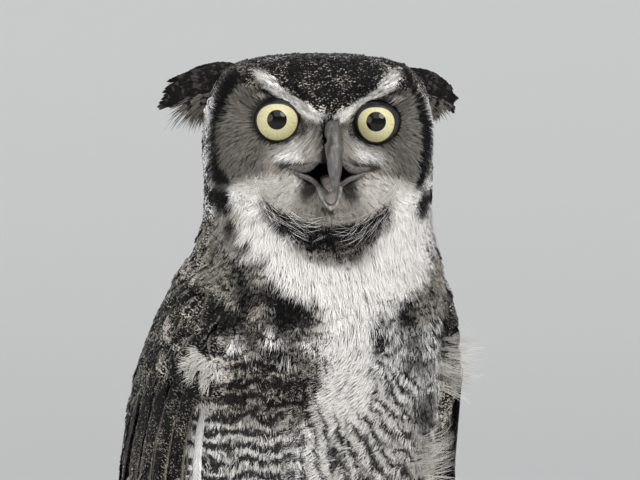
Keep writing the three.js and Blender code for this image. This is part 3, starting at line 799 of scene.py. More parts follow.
class Coat:
    """Gathers the feathers of one piece of the coat."""

    def __init__(self, seed):
        self.skin, self.outline = Owl.skin, Owl.outline
        self.colours = bpy.context.scene.owl_colours
        self.rng = np.random.default_rng(seed)
        self.batches = []

    def grow(self, growth):
        """Adds the feathers of one growth."""
        rng = self.rng
        points, faces = roots_on(self.skin, growth, rng)
        normals = unit(self.skin.blended(self.skin.normals, points, faces))
        parts = self.skin.parts[self.skin.faces[faces, 0]]
        at = Places(points, parts)
        count = len(points)
        length = rng.uniform(*growth.length, count) * MM
        heading = along_surface(growth.flow(at, normals), normals)
        turn = np.radians(rng.normal(0, growth.sway, count))[:, None]
        heading = heading * np.cos(turn) + np.cross(normals, heading) * np.sin(turn)
        spines = self.spines(points, normals, heading, length, growth, rng)
        marks = marks_at(Places(points + heading * length[:, None] * SEEN_AT, parts), self.colours)
        marks.phase = bars_at(at)
        if growth.tint:
            marks.over(np.ones(count), getattr(self.colours, growth.tint), 0, 0)
        marks.tint *= 1 + rng.normal(0, growth.shades, count)[:, None]
        marks.phase += rng.normal(0, PHASE_SPREAD, count)
        uv = self.skin.uv_at(points, faces)
        kinds = rng.integers(0, len(growth.forms), count)
        extra = {
            "length": length,
            "breadth": rng.uniform(*growth.breadth, count),
            "roll": np.radians(rng.normal(0, growth.roll, count)),
            "bend": rng.normal(0, growth.bend, count),
            "seed": rng.random(count),
        }
        for kind, form in enumerate(growth.forms):
            rows = np.flatnonzero(kinds == kind)
            if len(rows):
                chosen = {key: values[rows] for key, values in extra.items()}
                self.add(form, [s[rows] for s in spines], marks, rows, uv[rows], growth, chosen)

    def spines(self, points, normals, heading, length, growth, rng):
        """Where each feather's root, middle and tip lie, with the way up at each."""
        over, _, _ = self.outline.nearest(points)
        depth = np.linalg.norm(over - points, axis=1)[:, None]
        start = points + normals * depth
        half, full = (start + heading * length[:, None] * part for part in (0.5, 1.0))
        half, half_up, _ = self.outline.nearest(half)
        full, full_up, _ = self.outline.nearest(full)
        rise = rng.uniform(*growth.rise, len(points))[:, None] * MM
        half = half - half_up * depth * growth.tuck + half_up * rise / 2
        full = full + full_up * rise
        return [points, half, full, normals, half_up, full_up]

    def add(self, form, spines, marks, rows, uv, growth, chosen):
        """Lays one form along these spines, each a curve through a root, a middle and a tip."""

        def each(values):
            """One value for each feather, given to all its points."""
            return np.repeat(values[:, None], size, 1)

        count, size = len(rows), len(form.points)
        root, half, full, root_up, half_up, full_up = (s[:, None, :] for s in spines)
        across, t, above = (form.points[:, k][None, :, None] for k in range(3))
        bent = 2 * half - (root + full) / 2
        line = (1 - t) ** 2 * root + 2 * t * (1 - t) * bent + t**2 * full
        ahead = unit((1 - t) * (bent - root) + t * (full - bent))
        up = (1 - t) ** 2 * root_up + 2 * t * (1 - t) * half_up + t**2 * full_up
        side = unit(np.cross(ahead, up))
        up = np.cross(side, ahead)
        length, breadth, roll, bend, seed = (chosen[key][:, None, None] for key in CHOSEN)
        side, up = side * np.cos(roll) - up * np.sin(roll), up * np.cos(roll) + side * np.sin(roll)
        points = line + side * (across * breadth + bend * t**2) * length + up * above * length
        normals = unit(up + side * growth.round * across / form.half + ahead * 0.2 * (t - 0.5))
        across, along, _ = form.points.T
        edge = abs(across) / form.half
        length, breadth = length[:, 0], breadth[:, 0]
        run = along * length / MM
        width = form.half * length * breadth / MM
        phase = marks.phase[rows][:, None] - (run + growth.chevron * width * edge**2) / growth.bar
        pattern = np.stack([phase, each(marks.bars[rows]), each(marks.mottle[rows])], axis=-1)
        tint = np.concatenate([each(marks.tint[rows]), each(seed[:, 0])], axis=-1)
        vane = np.column_stack([form.strand, along, form.barb])
        patch = np.column_stack([across / form.half / 2 + 0.5, along.clip(0, 1)])
        sideways = across * (length * breadth) / MM
        place = np.stack([sideways, run, np.repeat(edge[None], count, 0)], axis=-1)
        faces = form.faces[None] + (np.arange(count) * size)[:, None, None]
        self.batches.append(
            {
                "points": points.reshape(-1, 3),
                "normals": normals.reshape(-1, 3),
                "faces": faces.reshape(-1, 3),
                "marks": pattern.reshape(-1, 3),
                "tint": tint.reshape(-1, 4),
                "vane": np.tile(vane, (count, 1)),
                "place": place.reshape(-1, 3),
                "map": (uv[:, None, :] + patch[None] * PATCH).reshape(-1, 2),
            }
        )

    def piece(self, name, material, slot, *replaced):
        """The gathered feathers as one object, whose shading follows the lie of the coat."""
        firsts = np.cumsum([0] + [len(batch["points"]) for batch in self.batches[:-1]])
        whole = {key: np.concatenate([b[key] for b in self.batches]) for key in self.batches[0]}
        counts = [len(batch["faces"]) for batch in self.batches]
        faces = whole["faces"] + np.repeat(firsts, counts)[:, None]
        mesh = bpy.data.meshes.new(name)
        mesh.vertices.add(len(whole["points"]))
        mesh.vertices.foreach_set("co", whole["points"].ravel())
        mesh.loops.add(faces.size)
        mesh.loops.foreach_set("vertex_index", faces.ravel())
        mesh.polygons.add(len(faces))
        mesh.polygons.foreach_set("loop_start", np.arange(0, faces.size, 3))
        mesh.update(calc_edges=True)
        for key in ("tint", "marks", "vane", "place"):
            keep_at_points(mesh, key, whole[key])
        layer = mesh.uv_layers.new(name="OFBake")
        layer.uv.foreach_set("vector", whole["map"][faces.ravel()].ravel())
        mesh.shade_smooth()
        mesh.normals_split_custom_set_from_vertices(whole["normals"])
        return dressed(linked(name, mesh), material, slot, *replaced)


def keep_at_points(mesh, name, values):
    """Stores a colour or a vector at each vertex of a mesh, for its material to read."""
    kind, key = ("FLOAT_COLOR", "color") if values.shape[1] == 4 else ("FLOAT_VECTOR", "vector")
    mesh.attributes.new(name, kind, "POINT").data.foreach_set(key, values.astype(np.float32).ravel())


def along_surface(heading, normals):
    """The headings turned into the surface that has these normals."""
    return unit(heading - dot(heading, normals)[:, None] * normals)


def dressed(piece, material, slot, *replaced):
    """A finished piece: its material and the solids it stands for. slot is not used."""
    piece.data.materials.append(material)
    if replaced:
        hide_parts(*replaced)
    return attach(piece, "root")


# ---- The lie of the coat ----


def down_body(at, normals):
    """Down the body, and leaning over to the owl's right where the belly's feathers are swept."""
    straight = along_surface(np.tile([0.0, 0.12, -1.0], (len(normals), 1)), normals)
    across = np.cross(straight, normals)
    lean = np.radians(lean_at(at))[:, None]
    return straight * np.cos(lean) + across * np.sin(lean)


def over_crown(at, normals):
    """Up the forehead, back over the crown and down the nape and the sides of the head."""
    swing = np.column_stack([0 * at.x, at.z - 5, 5 - at.y])
    fall = np.column_stack([0 * at.x, 0.3 + 0 * at.x, -1 + 0 * at.x]) * 40
    side = (abs(at.x) / 60)[:, None] * [[0, 16, -24]]
    high = ramp(at.z, -22, 14)[:, None]
    return (swing * high + fall * (1 - high) + side) @ HEAD_TURN


def over_face(at, normals):
    """Out from the root of the bill, and round each eye out from the eye itself."""
    side = np.sign(at.x)
    flat = 0 * at.x
    from_bill = unit(np.column_stack([at.x, flat, at.z - 19]))
    out_of_eye = unit(np.column_stack([from_eye(at) * side, flat, at.z - EYE_ABOVE]))
    outer = np.maximum(ramp(from_eye(at), -4, 8), ramp(at.z, 20, 27) * ramp(abs(at.x), 12, 22))
    outer = (outer * ramp(at.z, -30, -20))[:, None]
    heading = unit(out_of_eye * outer + from_bill * (1 - outer))
    near = ramp(eye_distance(at), 27, 16)
    into = np.minimum(0, dot(heading, out_of_eye)) * near
    return (heading - into[:, None] * 1.15 * out_of_eye) @ HEAD_TURN


def along_brow(at, normals):
    """Out and up along the brows."""
    return np.column_stack([np.sign(at.x) * 0.78, 0 * at.x, 0.62 + 0 * at.x]) @ HEAD_TURN


def to_middle(at, normals):
    """In towards the middle of the ruff, along its curve and a little down across it."""
    fall = 0.1 + 1.3 * (np.maximum(abs(at.x) - 8, 0) / 38) ** 1.6
    return np.column_stack([-np.sign(at.x), 0 * at.x, -fall]) @ HEAD_TURN


def under_chin(at, normals):
    """Down and out from the lower bill."""
    heading = np.column_stack([at.x * 0.9, 0 * at.x, np.minimum(at.z + 12, -12)])
    return unit(heading) @ HEAD_TURN


def along_limb(at, normals):
    """Down the legs and out along each toe."""
    heading = np.tile([0.0, 0.0, -1.0], (len(normals), 1))
    for side in SIDES:
        for toe in TOES:
            run = unit(middle(f"talon_{toe}_{side}") - middle(f"foot_{side}"))
            heading[at.on(f"toe_{toe}_{side}")] = run
    return heading


def along_wing(side):
    """The way the feathers of one wing lie: towards the tips of its flight feathers."""
    found = corners(f"flight_feathers_{side}")
    tip = found[found[:, 2].argmin()]

    def flow(at, normals):
        return unit(tip - at.points) + [0, 0, -0.15]

    return flow


# ---- Materials ----

def node(tree, kind, inputs=None, **settings):
    """Adds a node with its settings. inputs gives its sockets values, sockets to link from, or
    nodes, which are linked from the first output they have in use."""
    made = tree.nodes.new("ShaderNode" + kind)
    for name, value in settings.items():
        setattr(made, name, value)
    for socket, value in (inputs or {}).items():
        if isinstance(value, bpy.types.Node):
            value = next(output for output in value.outputs if output.enabled)
        if isinstance(value, bpy.types.NodeSocket):
            tree.links.new(value, made.inputs[socket])
        else:
            made.inputs[socket].default_value = value
    return made


def new_material(name):
    """A material without nodes, and what adds nodes to it."""
    material = bpy.data.materials.new(name)
    material.use_nodes = True
    material.node_tree.nodes.clear()
    return material, partial(node, material.node_tree)


def surfaced(add, colour, bump=None, **values):
    """Ends a material in one principled shader, whose plain values are set on its own sockets."""
    inputs = {name.replace("_", " ").title().replace("Ior", "IOR"): v for name, v in values.items()}
    inputs["Base Color"] = colour
    if bump is not None:
        inputs["Normal"] = bump
    add("OutputMaterial", {"Surface": add("BsdfPrincipled", inputs)})


BENDS, TEARS = 14 * MM, 4.2 * MM  # how far apart the bars' bends are, and the breaks in their edges


def pattern_mask(add, phase, bars, mottle, place, specks, grain, wander=1.0):
    """How dark the coat's pattern makes a place: bars that wander, and mottles grain metres across.
    phase, bars and mottle come from the mesh; specks is where the noise of the mottles is read."""
    slow = add("TexNoise", {"Vector": place, "Scale": 1 / BENDS, "Detail": 1.0})
    fast = add("TexNoise", {"Vector": place, "Scale": 1 / TEARS, "Detail": 3.0})
    phase = add("Math", {0: slow, 1: 1.6 * wander, 2: phase}, operation="MULTIPLY_ADD")
    phase = add("Math", {0: fast, 1: 0.95 * wander, 2: phase}, operation="MULTIPLY_ADD")
    part = add("Math", {0: phase}, operation="FRACT")
    up = add("Math", {0: part, 1: 2.0, 2: -1.0}, operation="MULTIPLY_ADD")
    fold = add("Math", {0: up}, operation="ABSOLUTE")
    limit = add("Math", {0: bars, 1: -1.25, 2: fold}, operation="MULTIPLY_ADD")
    inputs = {"Value": limit, "From Min": 0.02, "From Max": -0.26, "To Max": 0.96}
    barred = add("MapRange", inputs, interpolation_type="SMOOTHSTEP")
    speck = add("TexNoise", {"Vector": specks, "Scale": 1 / grain, "Detail": 2.0})
    patch = add("Math", {0: slow, 1: 0.3, 2: -0.03}, operation="MULTIPLY_ADD")
    limit = add("Math", {0: mottle, 1: 0.64, 2: patch}, operation="MULTIPLY_ADD")
    limit = add("Math", {0: speck, 1: limit}, operation="SUBTRACT")
    inputs = {"Value": limit, "From Min": 0.04, "From Max": -0.05}
    specked = add("MapRange", inputs, interpolation_type="SMOOTHSTEP")
    return add("Math", {0: barred, 1: specked}, operation="MAXIMUM")


SPECK_STRETCH = (0.6 * MM, 1.1 * MM, 0)  # metres of noise for a millimetre across and along a feather
SEED_SPAN = 60 * MM  # how far apart in the noise two feathers' mottles may be read


def feather_keratin(name, ink, grain, strands=0.35, fringe=0.0, shaded=0.55, wander=1.0):
    """Feather: dull keratin in fine barbs, which give soft streaks and ragged edges to its bars.
    strands is how unlike in tone neighbouring barbs are, fringe how far a mottled feather pales
    at its edge, shaded how much darker it is towards its root, partly its grey down and partly
    painted shade from the feathers over it, and wander how uneven its bars are."""
    material, add = new_material(name)
    tint = add("Attribute", attribute_name="tint").outputs
    tint, seed = tint["Color"], tint["Alpha"]
    marks = add("Attribute", attribute_name="marks").outputs["Vector"]
    phase, bars, mottle = add("SeparateXYZ", {0: marks}).outputs
    vane = add("Attribute", attribute_name="vane").outputs["Vector"]
    strand, along, barb = add("SeparateXYZ", {0: vane}).outputs
    own = add("Attribute", attribute_name="place").outputs["Vector"]
    across, run, edge = add("SeparateXYZ", {0: own}).outputs
    apart = add("Math", {0: seed, 1: SEED_SPAN}, operation="MULTIPLY")
    specks = add("CombineXYZ", {0: across, 1: run, 2: 0.0})
    specks = add("VectorMath", {0: specks, 1: SPECK_STRETCH}, operation="MULTIPLY")
    apart = add("CombineXYZ", {2: apart})
    specks = add("VectorMath", {0: specks, 1: apart}, operation="ADD")
    ragged = add("Math", {0: strand, 1: 0.22, 2: phase}, operation="MULTIPLY_ADD")
    place = add("TexCoord").outputs["Object"]
    mask = pattern_mask(add, ragged, bars, mottle, place, specks, grain, wander)
    outer = add("Math", {0: along, 1: 8.0}, operation="POWER")
    outer = add("Math", {0: outer, 1: edge}, operation="MAXIMUM")
    inputs = {"Value": outer, "From Min": 0.58, "From Max": 0.92, "To Min": 1.0, "To Max": 1 - fringe}
    outer = add("MapRange", inputs)
    mask = add("Math", {0: mask, 1: outer}, operation="MULTIPLY")
    coloured = add("Mix", {0: mask, 6: tint, 7: (*ink, 1)}, data_type="RGBA")
    apart = add("Math", {0: strand, 1: 37.0, 2: seed}, operation="MULTIPLY_ADD")
    streak = add("CombineXYZ", {0: barb, 1: along, 2: apart})
    streak = add("VectorMath", {0: streak, 1: (0.9, 3.0, 9.0)}, operation="MULTIPLY")
    barbs = add("TexNoise", {"Vector": streak, "Scale": 1.0, "Detail": 2.0})
    inputs = {"Value": barbs, "From Min": 0.3, "From Max": 0.7}
    inputs |= {"To Min": 1 - strands, "To Max": 1 + 0.6 * strands}
    lines = add("MapRange", inputs)
    # painted shade: darker towards the root, partly the grey down there and partly the shade of the
    # feathers lying over it
    inputs = {"Value": along, "From Min": 0.0, "From Max": 0.45, "To Min": 1 - shaded, "To Max": 1.0}
    down_grey_and_shade = add("MapRange", inputs, interpolation_type="SMOOTHSTEP")
    shade = add("Math", {0: lines, 1: down_grey_and_shade}, operation="MULTIPLY")
    colour = add("VectorMath", {0: coloured, "Scale": shade}, operation="SCALE")
    bump = add("Bump", {"Height": barbs, "Strength": min(0.3, strands), "Distance": 0.3 * MM})
    surfaced(add, colour, bump, roughness=0.82, specular_ior_level=0.15, sheen_weight=0.04)
    return material


def skin_under_down(name, ink, grain):
    """Skin under down: matt, in the coat's own markings, darker because it lies in its shade."""
    material, add = new_material(name)
    tint = add("Attribute", attribute_name="tint").outputs["Color"]
    marks = add("Attribute", attribute_name="marks").outputs["Vector"]
    place = add("TexCoord").outputs["Object"]
    mask = pattern_mask(add, *add("SeparateXYZ", {0: marks}).outputs, place, place, grain)
    coloured = add("Mix", {0: mask, 6: tint, 7: (*ink, 1)}, data_type="RGBA")
    colour = add("VectorMath", {0: coloured, "Scale": 0.64}, operation="SCALE")
    down = add("TexNoise", {"Vector": place, "Scale": 1 / (0.9 * MM), "Detail": 3.0})
    bump = add("Bump", {"Height": down, "Strength": 0.6, "Distance": 0.5 * MM})
    surfaced(add, colour, bump, roughness=0.9, specular_ior_level=0.2)
    return material


def eye_under_cornea(name, iris, rim):
    """Eye: a wet, clear cornea over a fibrous iris, which gives one sharp glint and a deep pupil."""
    material, add = new_material(name)
    own = add("Attribute", attribute_name="own").outputs["Vector"]
    flat = add("VectorMath", {0: own, 1: (1, 1, 0)}, operation="MULTIPLY")
    away = add("VectorMath", {0: flat}, operation="LENGTH")
    around = add("VectorMath", {0: flat}, operation="NORMALIZE")
    inward = add("CombineXYZ", {2: away})
    around = add("VectorMath", {0: around, 1: (9, 9, 9), 2: inward}, operation="MULTIPLY_ADD")
    around = add("VectorMath", {0: around, 1: (1, 1, 0.22)}, operation="MULTIPLY")
    threads = add("TexNoise", {"Vector": around, "Scale": 1.6, "Detail": 5.0, "Roughness": 0.6})
    tones = add("ValToRGB", {0: threads})
    for stop, position, tone in zip(tones.color_ramp.elements, (0.3, 0.62), (0.78, 1)):
        stop.position = position
        stop.color = (*[tone * v for v in iris], 1)
    edge = {"Value": away, "From Min": IRIS - 1.3, "From Max": IRIS - 0.3}
    edge = add("MapRange", edge, interpolation_type="SMOOTHSTEP")
    ringed = add("Mix", {0: edge, 6: tones, 7: (*rim, 1)}, data_type="RGBA")
    hole = add("MapRange", {"Value": away, "From Min": PUPIL + 0.25, "From Max": PUPIL - 0.05})
    reach = add("SeparateXYZ", {0: own}).outputs[2]
    under_lids = add("MapRange", {"Value": reach, "From Min": IRIS - 0.1, "From Max": IRIS + 0.2})
    hole = add("Math", {0: hole, 1: under_lids}, operation="MAXIMUM")
    colour = add("Mix", {0: hole, 6: ringed, 7: (0.001, 0.001, 0.001, 1)}, data_type="RGBA")
    gloss = {"coat_weight": 1.0, "coat_roughness": 0.02, "coat_ior": 1.38}
    surfaced(add, colour, roughness=0.6, specular_ior_level=0.0, **gloss)
    return material


def horn(name, colour, tip, rough=0.4):
    """Horn: dense keratin grown in layers, which gives fine streaks and a soft gloss."""
    material, add = new_material(name)
    place = add("TexCoord").outputs["Object"]
    squeezed = add("VectorMath", {0: place, 1: (1, 0.55, 0.22)}, operation="MULTIPLY")
    layers = add("TexNoise", {"Vector": squeezed, "Scale": 1 / (1.1 * MM), "Detail": 4.0})
    cloud = add("TexNoise", {"Vector": squeezed, "Scale": 1 / (3.5 * MM), "Detail": 3.0})
    inputs = {"Value": cloud, "From Min": 0.4, "From Max": 0.64, "To Min": 0.12, "To Max": 0.9}
    share = add("MapRange", inputs)
    tones = add("Mix", {0: share, 6: (*colour, 1), 7: (*tip, 1)}, data_type="RGBA")
    inputs = {"Value": layers, "From Min": 0.3, "From Max": 0.7, "To Min": 0.5, "To Max": 1.3}
    colour = add("VectorMath", {0: tones, "Scale": add("MapRange", inputs)}, operation="SCALE")
    bump = add("Bump", {"Height": layers, "Strength": 0.6, "Distance": 0.7 * MM})
    surfaced(add, colour, bump, roughness=rough, coat_weight=0.12, coat_roughness=0.25)
    return material


def bare_skin(name, colour, wet):
    """Bare skin: soft and finely wrinkled, a little moist, so its gloss is broken up."""
    material, add = new_material(name)
    place = add("TexCoord").outputs["Object"]
    folds = add("TexNoise", {"Vector": place, "Scale": 1 / (1.2 * MM), "Detail": 5.0})
    inputs = {"Value": folds, "From Min": 0.36, "From Max": 0.64, "To Min": 0.4, "To Max": 1.25}
    colour = add("VectorMath", {0: colour, "Scale": add("MapRange", inputs)}, operation="SCALE")
    bump = add("Bump", {"Height": folds, "Strength": 0.4, "Distance": 0.3 * MM})
    surfaced(add, colour, bump, roughness=0.6 - 0.3 * wet, coat_weight=wet, coat_roughness=0.15)
    return material


# ---- What a user sets ----


def colour_of(name, value, description):
    return bpy.props.FloatVectorProperty(
        name=name, description=description, default=linear(value), subtype="COLOR", min=0, max=1
    )


class OwlColours(bpy.types.PropertyGroup):
    """The colours of the plumage, eyes and horn."""

    white: colour_of("White", "#f6f3ef", "Bib, brows and the middle of the belly")
    pale: colour_of("Pale", "#bcb5ab", "Ground of the barred and mottled feathers")
    pale_grey: colour_of("Pale grey", "#8d8780", "Outer part of the face, and the chin")
    speck: colour_of("Speck", "#a59d93", "Specks of the crown")
    buff: colour_of("Buff", "#a29a8f", "Ground of the back and wings")
    grey: colour_of("Grey", "#68635d", "Middle of the face")
    # shade also paints the shade under the lips and in the crease of the gape
    shade: colour_of("Shade", "#3d3936", "Round the eyes and beside the bill")
    # ink also paints the shadow in the open mouth, and with dark bristles the shade beside the upper bill
    ink: colour_of("Ink", "#0e0d0c", "Bars, mottles, ruff and the rim of the face")
    iris: colour_of("Iris", "#d8d0a0", "Iris")
    iris_rim: colour_of("Iris rim", "#6e6330", "Outer edge of the iris")
    lid: colour_of("Lids", "#0f0e0e", "Bare edges of the lids")
    bill: colour_of("Bill", "#6d6a65", "Horn of the bill")
    bill_pale: colour_of("Lower bill", "#a39e97", "Horn of the lower bill")
    bill_dark: colour_of("Bill, dark", "#2e2c2a", "Clouding in the horn of the bill")
    lips: colour_of("Lips", "#57524e", "Bare edges of the mouth")
    tongue: colour_of("Tongue", "#8d827e", "Tongue")
    claw: colour_of("Claws", "#23201e", "Horn of the claws")
    down: colour_of("Down", "#c9c5be", "Tufts of bare down at the shoulder and flank")
    bristle: colour_of("Loose white", "#d8d4ce", "White hairs over the ruff, and down at the wrist")
    backdrop: colour_of("Backdrop", "#d9d9d7", "Floor and backdrop")


class OwlSizes(bpy.types.PropertyGroup):
    """How closely the feathers stand."""

    spread: bpy.props.FloatProperty(
        name="Spread",
        description="How far apart feathers root, as a part of a live owl's spacing",
        default=1.0,
        min=0.8,
        max=3.0,
        subtype="FACTOR",
    )


# ---- The coat, region by region ----


def is_open(at):
    """The eyes' openings and the open mouth, which no feather hangs into."""
    x = abs(at.x)
    over = np.interp(x, (7, 12, 16, 20), (-13.6, -16.6, -18.8, -20)) - np.where(at.x > 0, 0.6, 0)
    under = np.interp(x, (8, 12, 16, 20), (-27.5, -25.5, -22.5, -19.6))
    in_mouth = (x < 20) & (at.z < over) & (at.z > under)
    narrow = np.where(at.x > 0, 0.9, 1)
    in_eye = np.hypot(from_eye(at) / narrow, at.z - EYE_ABOVE) < 13.6
    return (in_eye | in_mouth) & (at.y < -18) & at.on(*HEAD)


BILL_ASIDE = 1.3  # the upper bill shuts a little to the owl's left


def is_bare(at):
    """Where no feather roots: the openings and the bill."""
    x = abs(at.x)
    aside = abs(at.x - BILL_ASIDE)
    upper = (aside < np.interp(at.z, (-14, 3, 8), (5.2, 3.6, 1.5))) & (at.z < 6) & (at.z > -32)
    lower = (x < np.interp(at.z, (-43, -38, -30, -24), (2, 5, 7.6, 9))) & (at.z < -20) & (at.z > -43)
    return ((upper | lower) & (at.y < -18) & at.on(*HEAD)) | is_open(at)


def is_face(at):
    inside = (from_middle(at) < rim_reach(at.z) - 2.6) & (at.z < 31) & (at.z > -26) & (at.y < -16)
    return inside & (at.z < brow_height(at.x) + 1) & at.on(*HEAD)


def is_brow(at):
    return (stroke(abs(at.x), at.z, BROW, 7) > 0.5) & (at.y < -14) & at.on(*HEAD)


def is_rim(at):
    near = (stroke(from_middle(at), at.z, RIM, 6.4) > 0.4) & (at.z > -25) & (at.y < -6)
    return near & at.on("head") & ~is_face(at)


def is_chin(at):
    over = np.where(abs(at.x) < 45, 4, -1)
    low = (at.z < -20) & (at.z > ruff_line(at.x) + over) & (abs(at.x) < 60) & (at.y < -14)
    return low & at.on("neck", *HEAD) & ~is_face(at)


def is_ruff(at):
    near = (abs(at.z + 1 - ruff_line(at.x)) < 8) & (abs(at.x) < 45) & (at.y < -10)
    return near & at.on("neck", *HEAD) & ~is_chin(at)


def is_forehead(at):
    high = at.z > brow_height(at.x) + 1
    return high & (at.y < -12) & (abs(at.x) < 60) & at.on("head") & ~is_brow(at)


def is_crown(at):
    rest = ~(is_forehead(at) | is_face(at) | is_brow(at) | is_rim(at) | is_chin(at) | is_ruff(at))
    return at.on("head") & rest & ~is_throat(at)


def is_throat(at):
    ahead = (at.bearing > -88) & (at.bearing < 70)
    low = at.on("neck") | (at.on("head") & (at.z < ruff_line(at.x)) & (at.y < -4))
    return low & ahead & ~is_ruff(at) & ~is_chin(at)


def is_nape(at):
    return at.on("neck") & ~is_throat(at) & ~is_ruff(at) & ~is_chin(at)


def flank_edge(at, side):
    """Whether a place on a wing is overhung by the belly's feathers."""
    reach = np.where((at.height < 252) & (side == "right"), 71, 60)
    return at.on("wing_" + side) & (abs(at.bearing) < reach) & (at.height < 305)


def is_front(at, reach):
    """Whether a place is on the trunk or what overhangs the wings, nearer ahead than a bearing."""
    ahead = abs(at.bearing) < reach
    return ahead & (at.on("trunk") | flank_edge(at, "left") | flank_edge(at, "right"))


def is_breast(at):
    return is_front(at, 100) & (at.height > 236)


def is_belly(at):
    return is_front(at, 115) & (at.height <= 236)


def is_back(at):
    return at.on("trunk") & ~is_breast(at) & ~is_belly(at)


def is_middle(at):
    """The white, downy middle of the breast."""
    inside = spot(at.bearing, at.height, (-5, 258), (14, 34), 0.1) > 0.5
    return inside & at.on("trunk")


def is_drape(at):
    """The ruff and a little of what lies over and under it, where loose white hairs root."""
    near = (at.z < ruff_line(at.x) + 9) & (at.z > ruff_line(at.x) - 4) & (abs(abs(at.x) - 26) < 17)
    return near & (at.y < -20) & at.on("neck", *HEAD)


def is_above_sole(at):
    return at.on("foot", "toe") & (at.height > 3.5)


def on_wing(side, low, high):
    """Picks a length of one wing, between two heights."""
    wing = "wing_" + side
    return lambda at: at.on(wing) & (at.height >= low) & (at.height < high) & ~flank_edge(at, side)


def forms_of(make, count, seed, **shape):
    """A few different feathers of one form."""
    rng = np.random.default_rng(seed)
    return [make(rng, **shape) for _ in range(count)]


def head_growths():
    small = forms_of(plume, 5, 11, barbs=6, half=0.34, fray=0.7, loft=0.03)
    return {
        "coat_crown": [
            Growth(small, is_forehead, over_crown, 1.9, (5.5, 7.5), shades=0.2),
            Growth(small, is_crown, over_crown, 2.9, (9, 12), shades=0.16),
        ],
    }


def face_growths():
    fine = forms_of(wisp, 6, 21, strands=6, spread=0.13, width=0.034, loft=0.04)
    brows = forms_of(wisp, 6, 22, strands=6, spread=0.12, width=0.034, loft=0.06)
    edge = forms_of(wisp, 6, 23, strands=7, spread=0.22, width=0.05, loft=0.1)
    short = forms_of(wisp, 6, 24, strands=7, spread=0.2, width=0.045, loft=0.03)
    return {
        "coat_face": [
            Growth(fine, is_face, over_face, 1.1, (7, 10), shades=0.17, rise=(-0.7, 0.4)),
            Growth(brows, is_brow, along_brow, 1.15, (7, 10), shades=0.3, rise=(0, 1.2)),
            Growth(edge, is_rim, over_face, 1.5, (5, 7), shades=0.12, rise=(0.2, 1.2)),
        ],
        "coat_chin": [
            Growth(short, is_chin, under_chin, 1.0, (6.5, 9), shades=0.08, roll=5, rise=(-0.6, 0.6)),
        ],
    }


def throat_growths():
    ruff = forms_of(wisp, 6, 31, strands=9, spread=0.3, width=0.04, loft=0.1, steps=4)
    down = forms_of(wisp, 6, 32, strands=14, spread=0.3, width=0.026, loft=0.05, steps=4)
    drape = forms_of(wisp, 8, 34, strands=2, spread=0.16, width=0.0105, loft=0.06, steps=6)
    loose = {"shades": 0.3, "sway": 11, "tint": "bristle", "tuck": 0, "rise": (2.0, 4.0), "bend": 0.14}
    even = {"shades": 0.04, "rise": (-0.5, 0.8), "roll": 4, "round": 0.12}
    return {
        "coat_throat": [
            Growth(ruff, is_ruff, under_chin, 1.8, (9, 13), shades=0.2, rise=(0, 2)),
            Growth(drape, is_drape, to_middle, 2.5, (18, 28), **loose),
            Growth(down, is_throat, down_body, 2.1, (14, 19), **even),
        ],
    }


def breast_growths():
    soft = forms_of(wisp, 8, 41, strands=15, spread=0.42, width=0.024, loft=0.03, steps=4)
    down = forms_of(wisp, 6, 42, strands=12, spread=0.26, width=0.028, loft=0.04, steps=4)
    even = {"shades": 0.08, "sway": 7, "roll": 6, "rise": (-0.8, 0.6)}
    white = {"shades": 0.04, "roll": 4, "round": 0.12, "rise": (-0.5, 1)}

    def breast(at):
        return is_breast(at) & ~is_middle(at)

    def belly(at):
        return is_belly(at) & (at.height > 165)

    def vent(at):
        return is_belly(at) & (at.height <= 165)

    return {
        "coat_breast": [
            Growth(soft, breast, down_body, 3.4, (19, 25), **even),
            Growth(down, is_middle, down_body, 2.4, (15, 21), **white),
        ],
        "coat_belly": [Growth(soft, belly, down_body, 3.6, (22, 28), **even)],
        "coat_vent": [Growth(soft, vent, down_body, 4.2, (24, 30), **even)],
    }


def back_growths():
    neat = forms_of(plume, 5, 51, barbs=8, half=0.36, point=0.3, fray=0.3)
    small = forms_of(plume, 5, 33, barbs=8, half=0.3, fray=0.7)
    return {
        "coat_nape": [Growth(small, is_nape, down_body, 4.0, (15, 19), shades=0.13)],
        "coat_back": [Growth(neat, is_back, down_body, 6.5, (24, 28), shades=0.12)],
    }


def wing_growths(side):
    neat = forms_of(plume, 6, 61, barbs=12, half=0.36, point=0.3, fray=0.3, loft=0.012)
    flow = along_wing(side)
    even = {"shades": 0.14, "sway": 6, "rise": (-0.8, 0.3)}
    return {
        f"coat_wing_{side}": [
            Growth(neat, on_wing(side, 262, 400), flow, 4.2, (13, 17), **even),
            Growth(neat, on_wing(side, 205, 262), flow, 5.4, (20, 25), **even),
            Growth(neat, on_wing(side, 0, 205), flow, 7.0, (28, 38), **even),
        ]
    }


def sweeping(across, up):
    """A flow towards the owl's left by across and upwards by up, over the surface."""

    def flow(at, normals):
        level = unit(np.cross([0, 0, 1.0], normals))
        return level * across + [[0, 0, up]]

    return flow


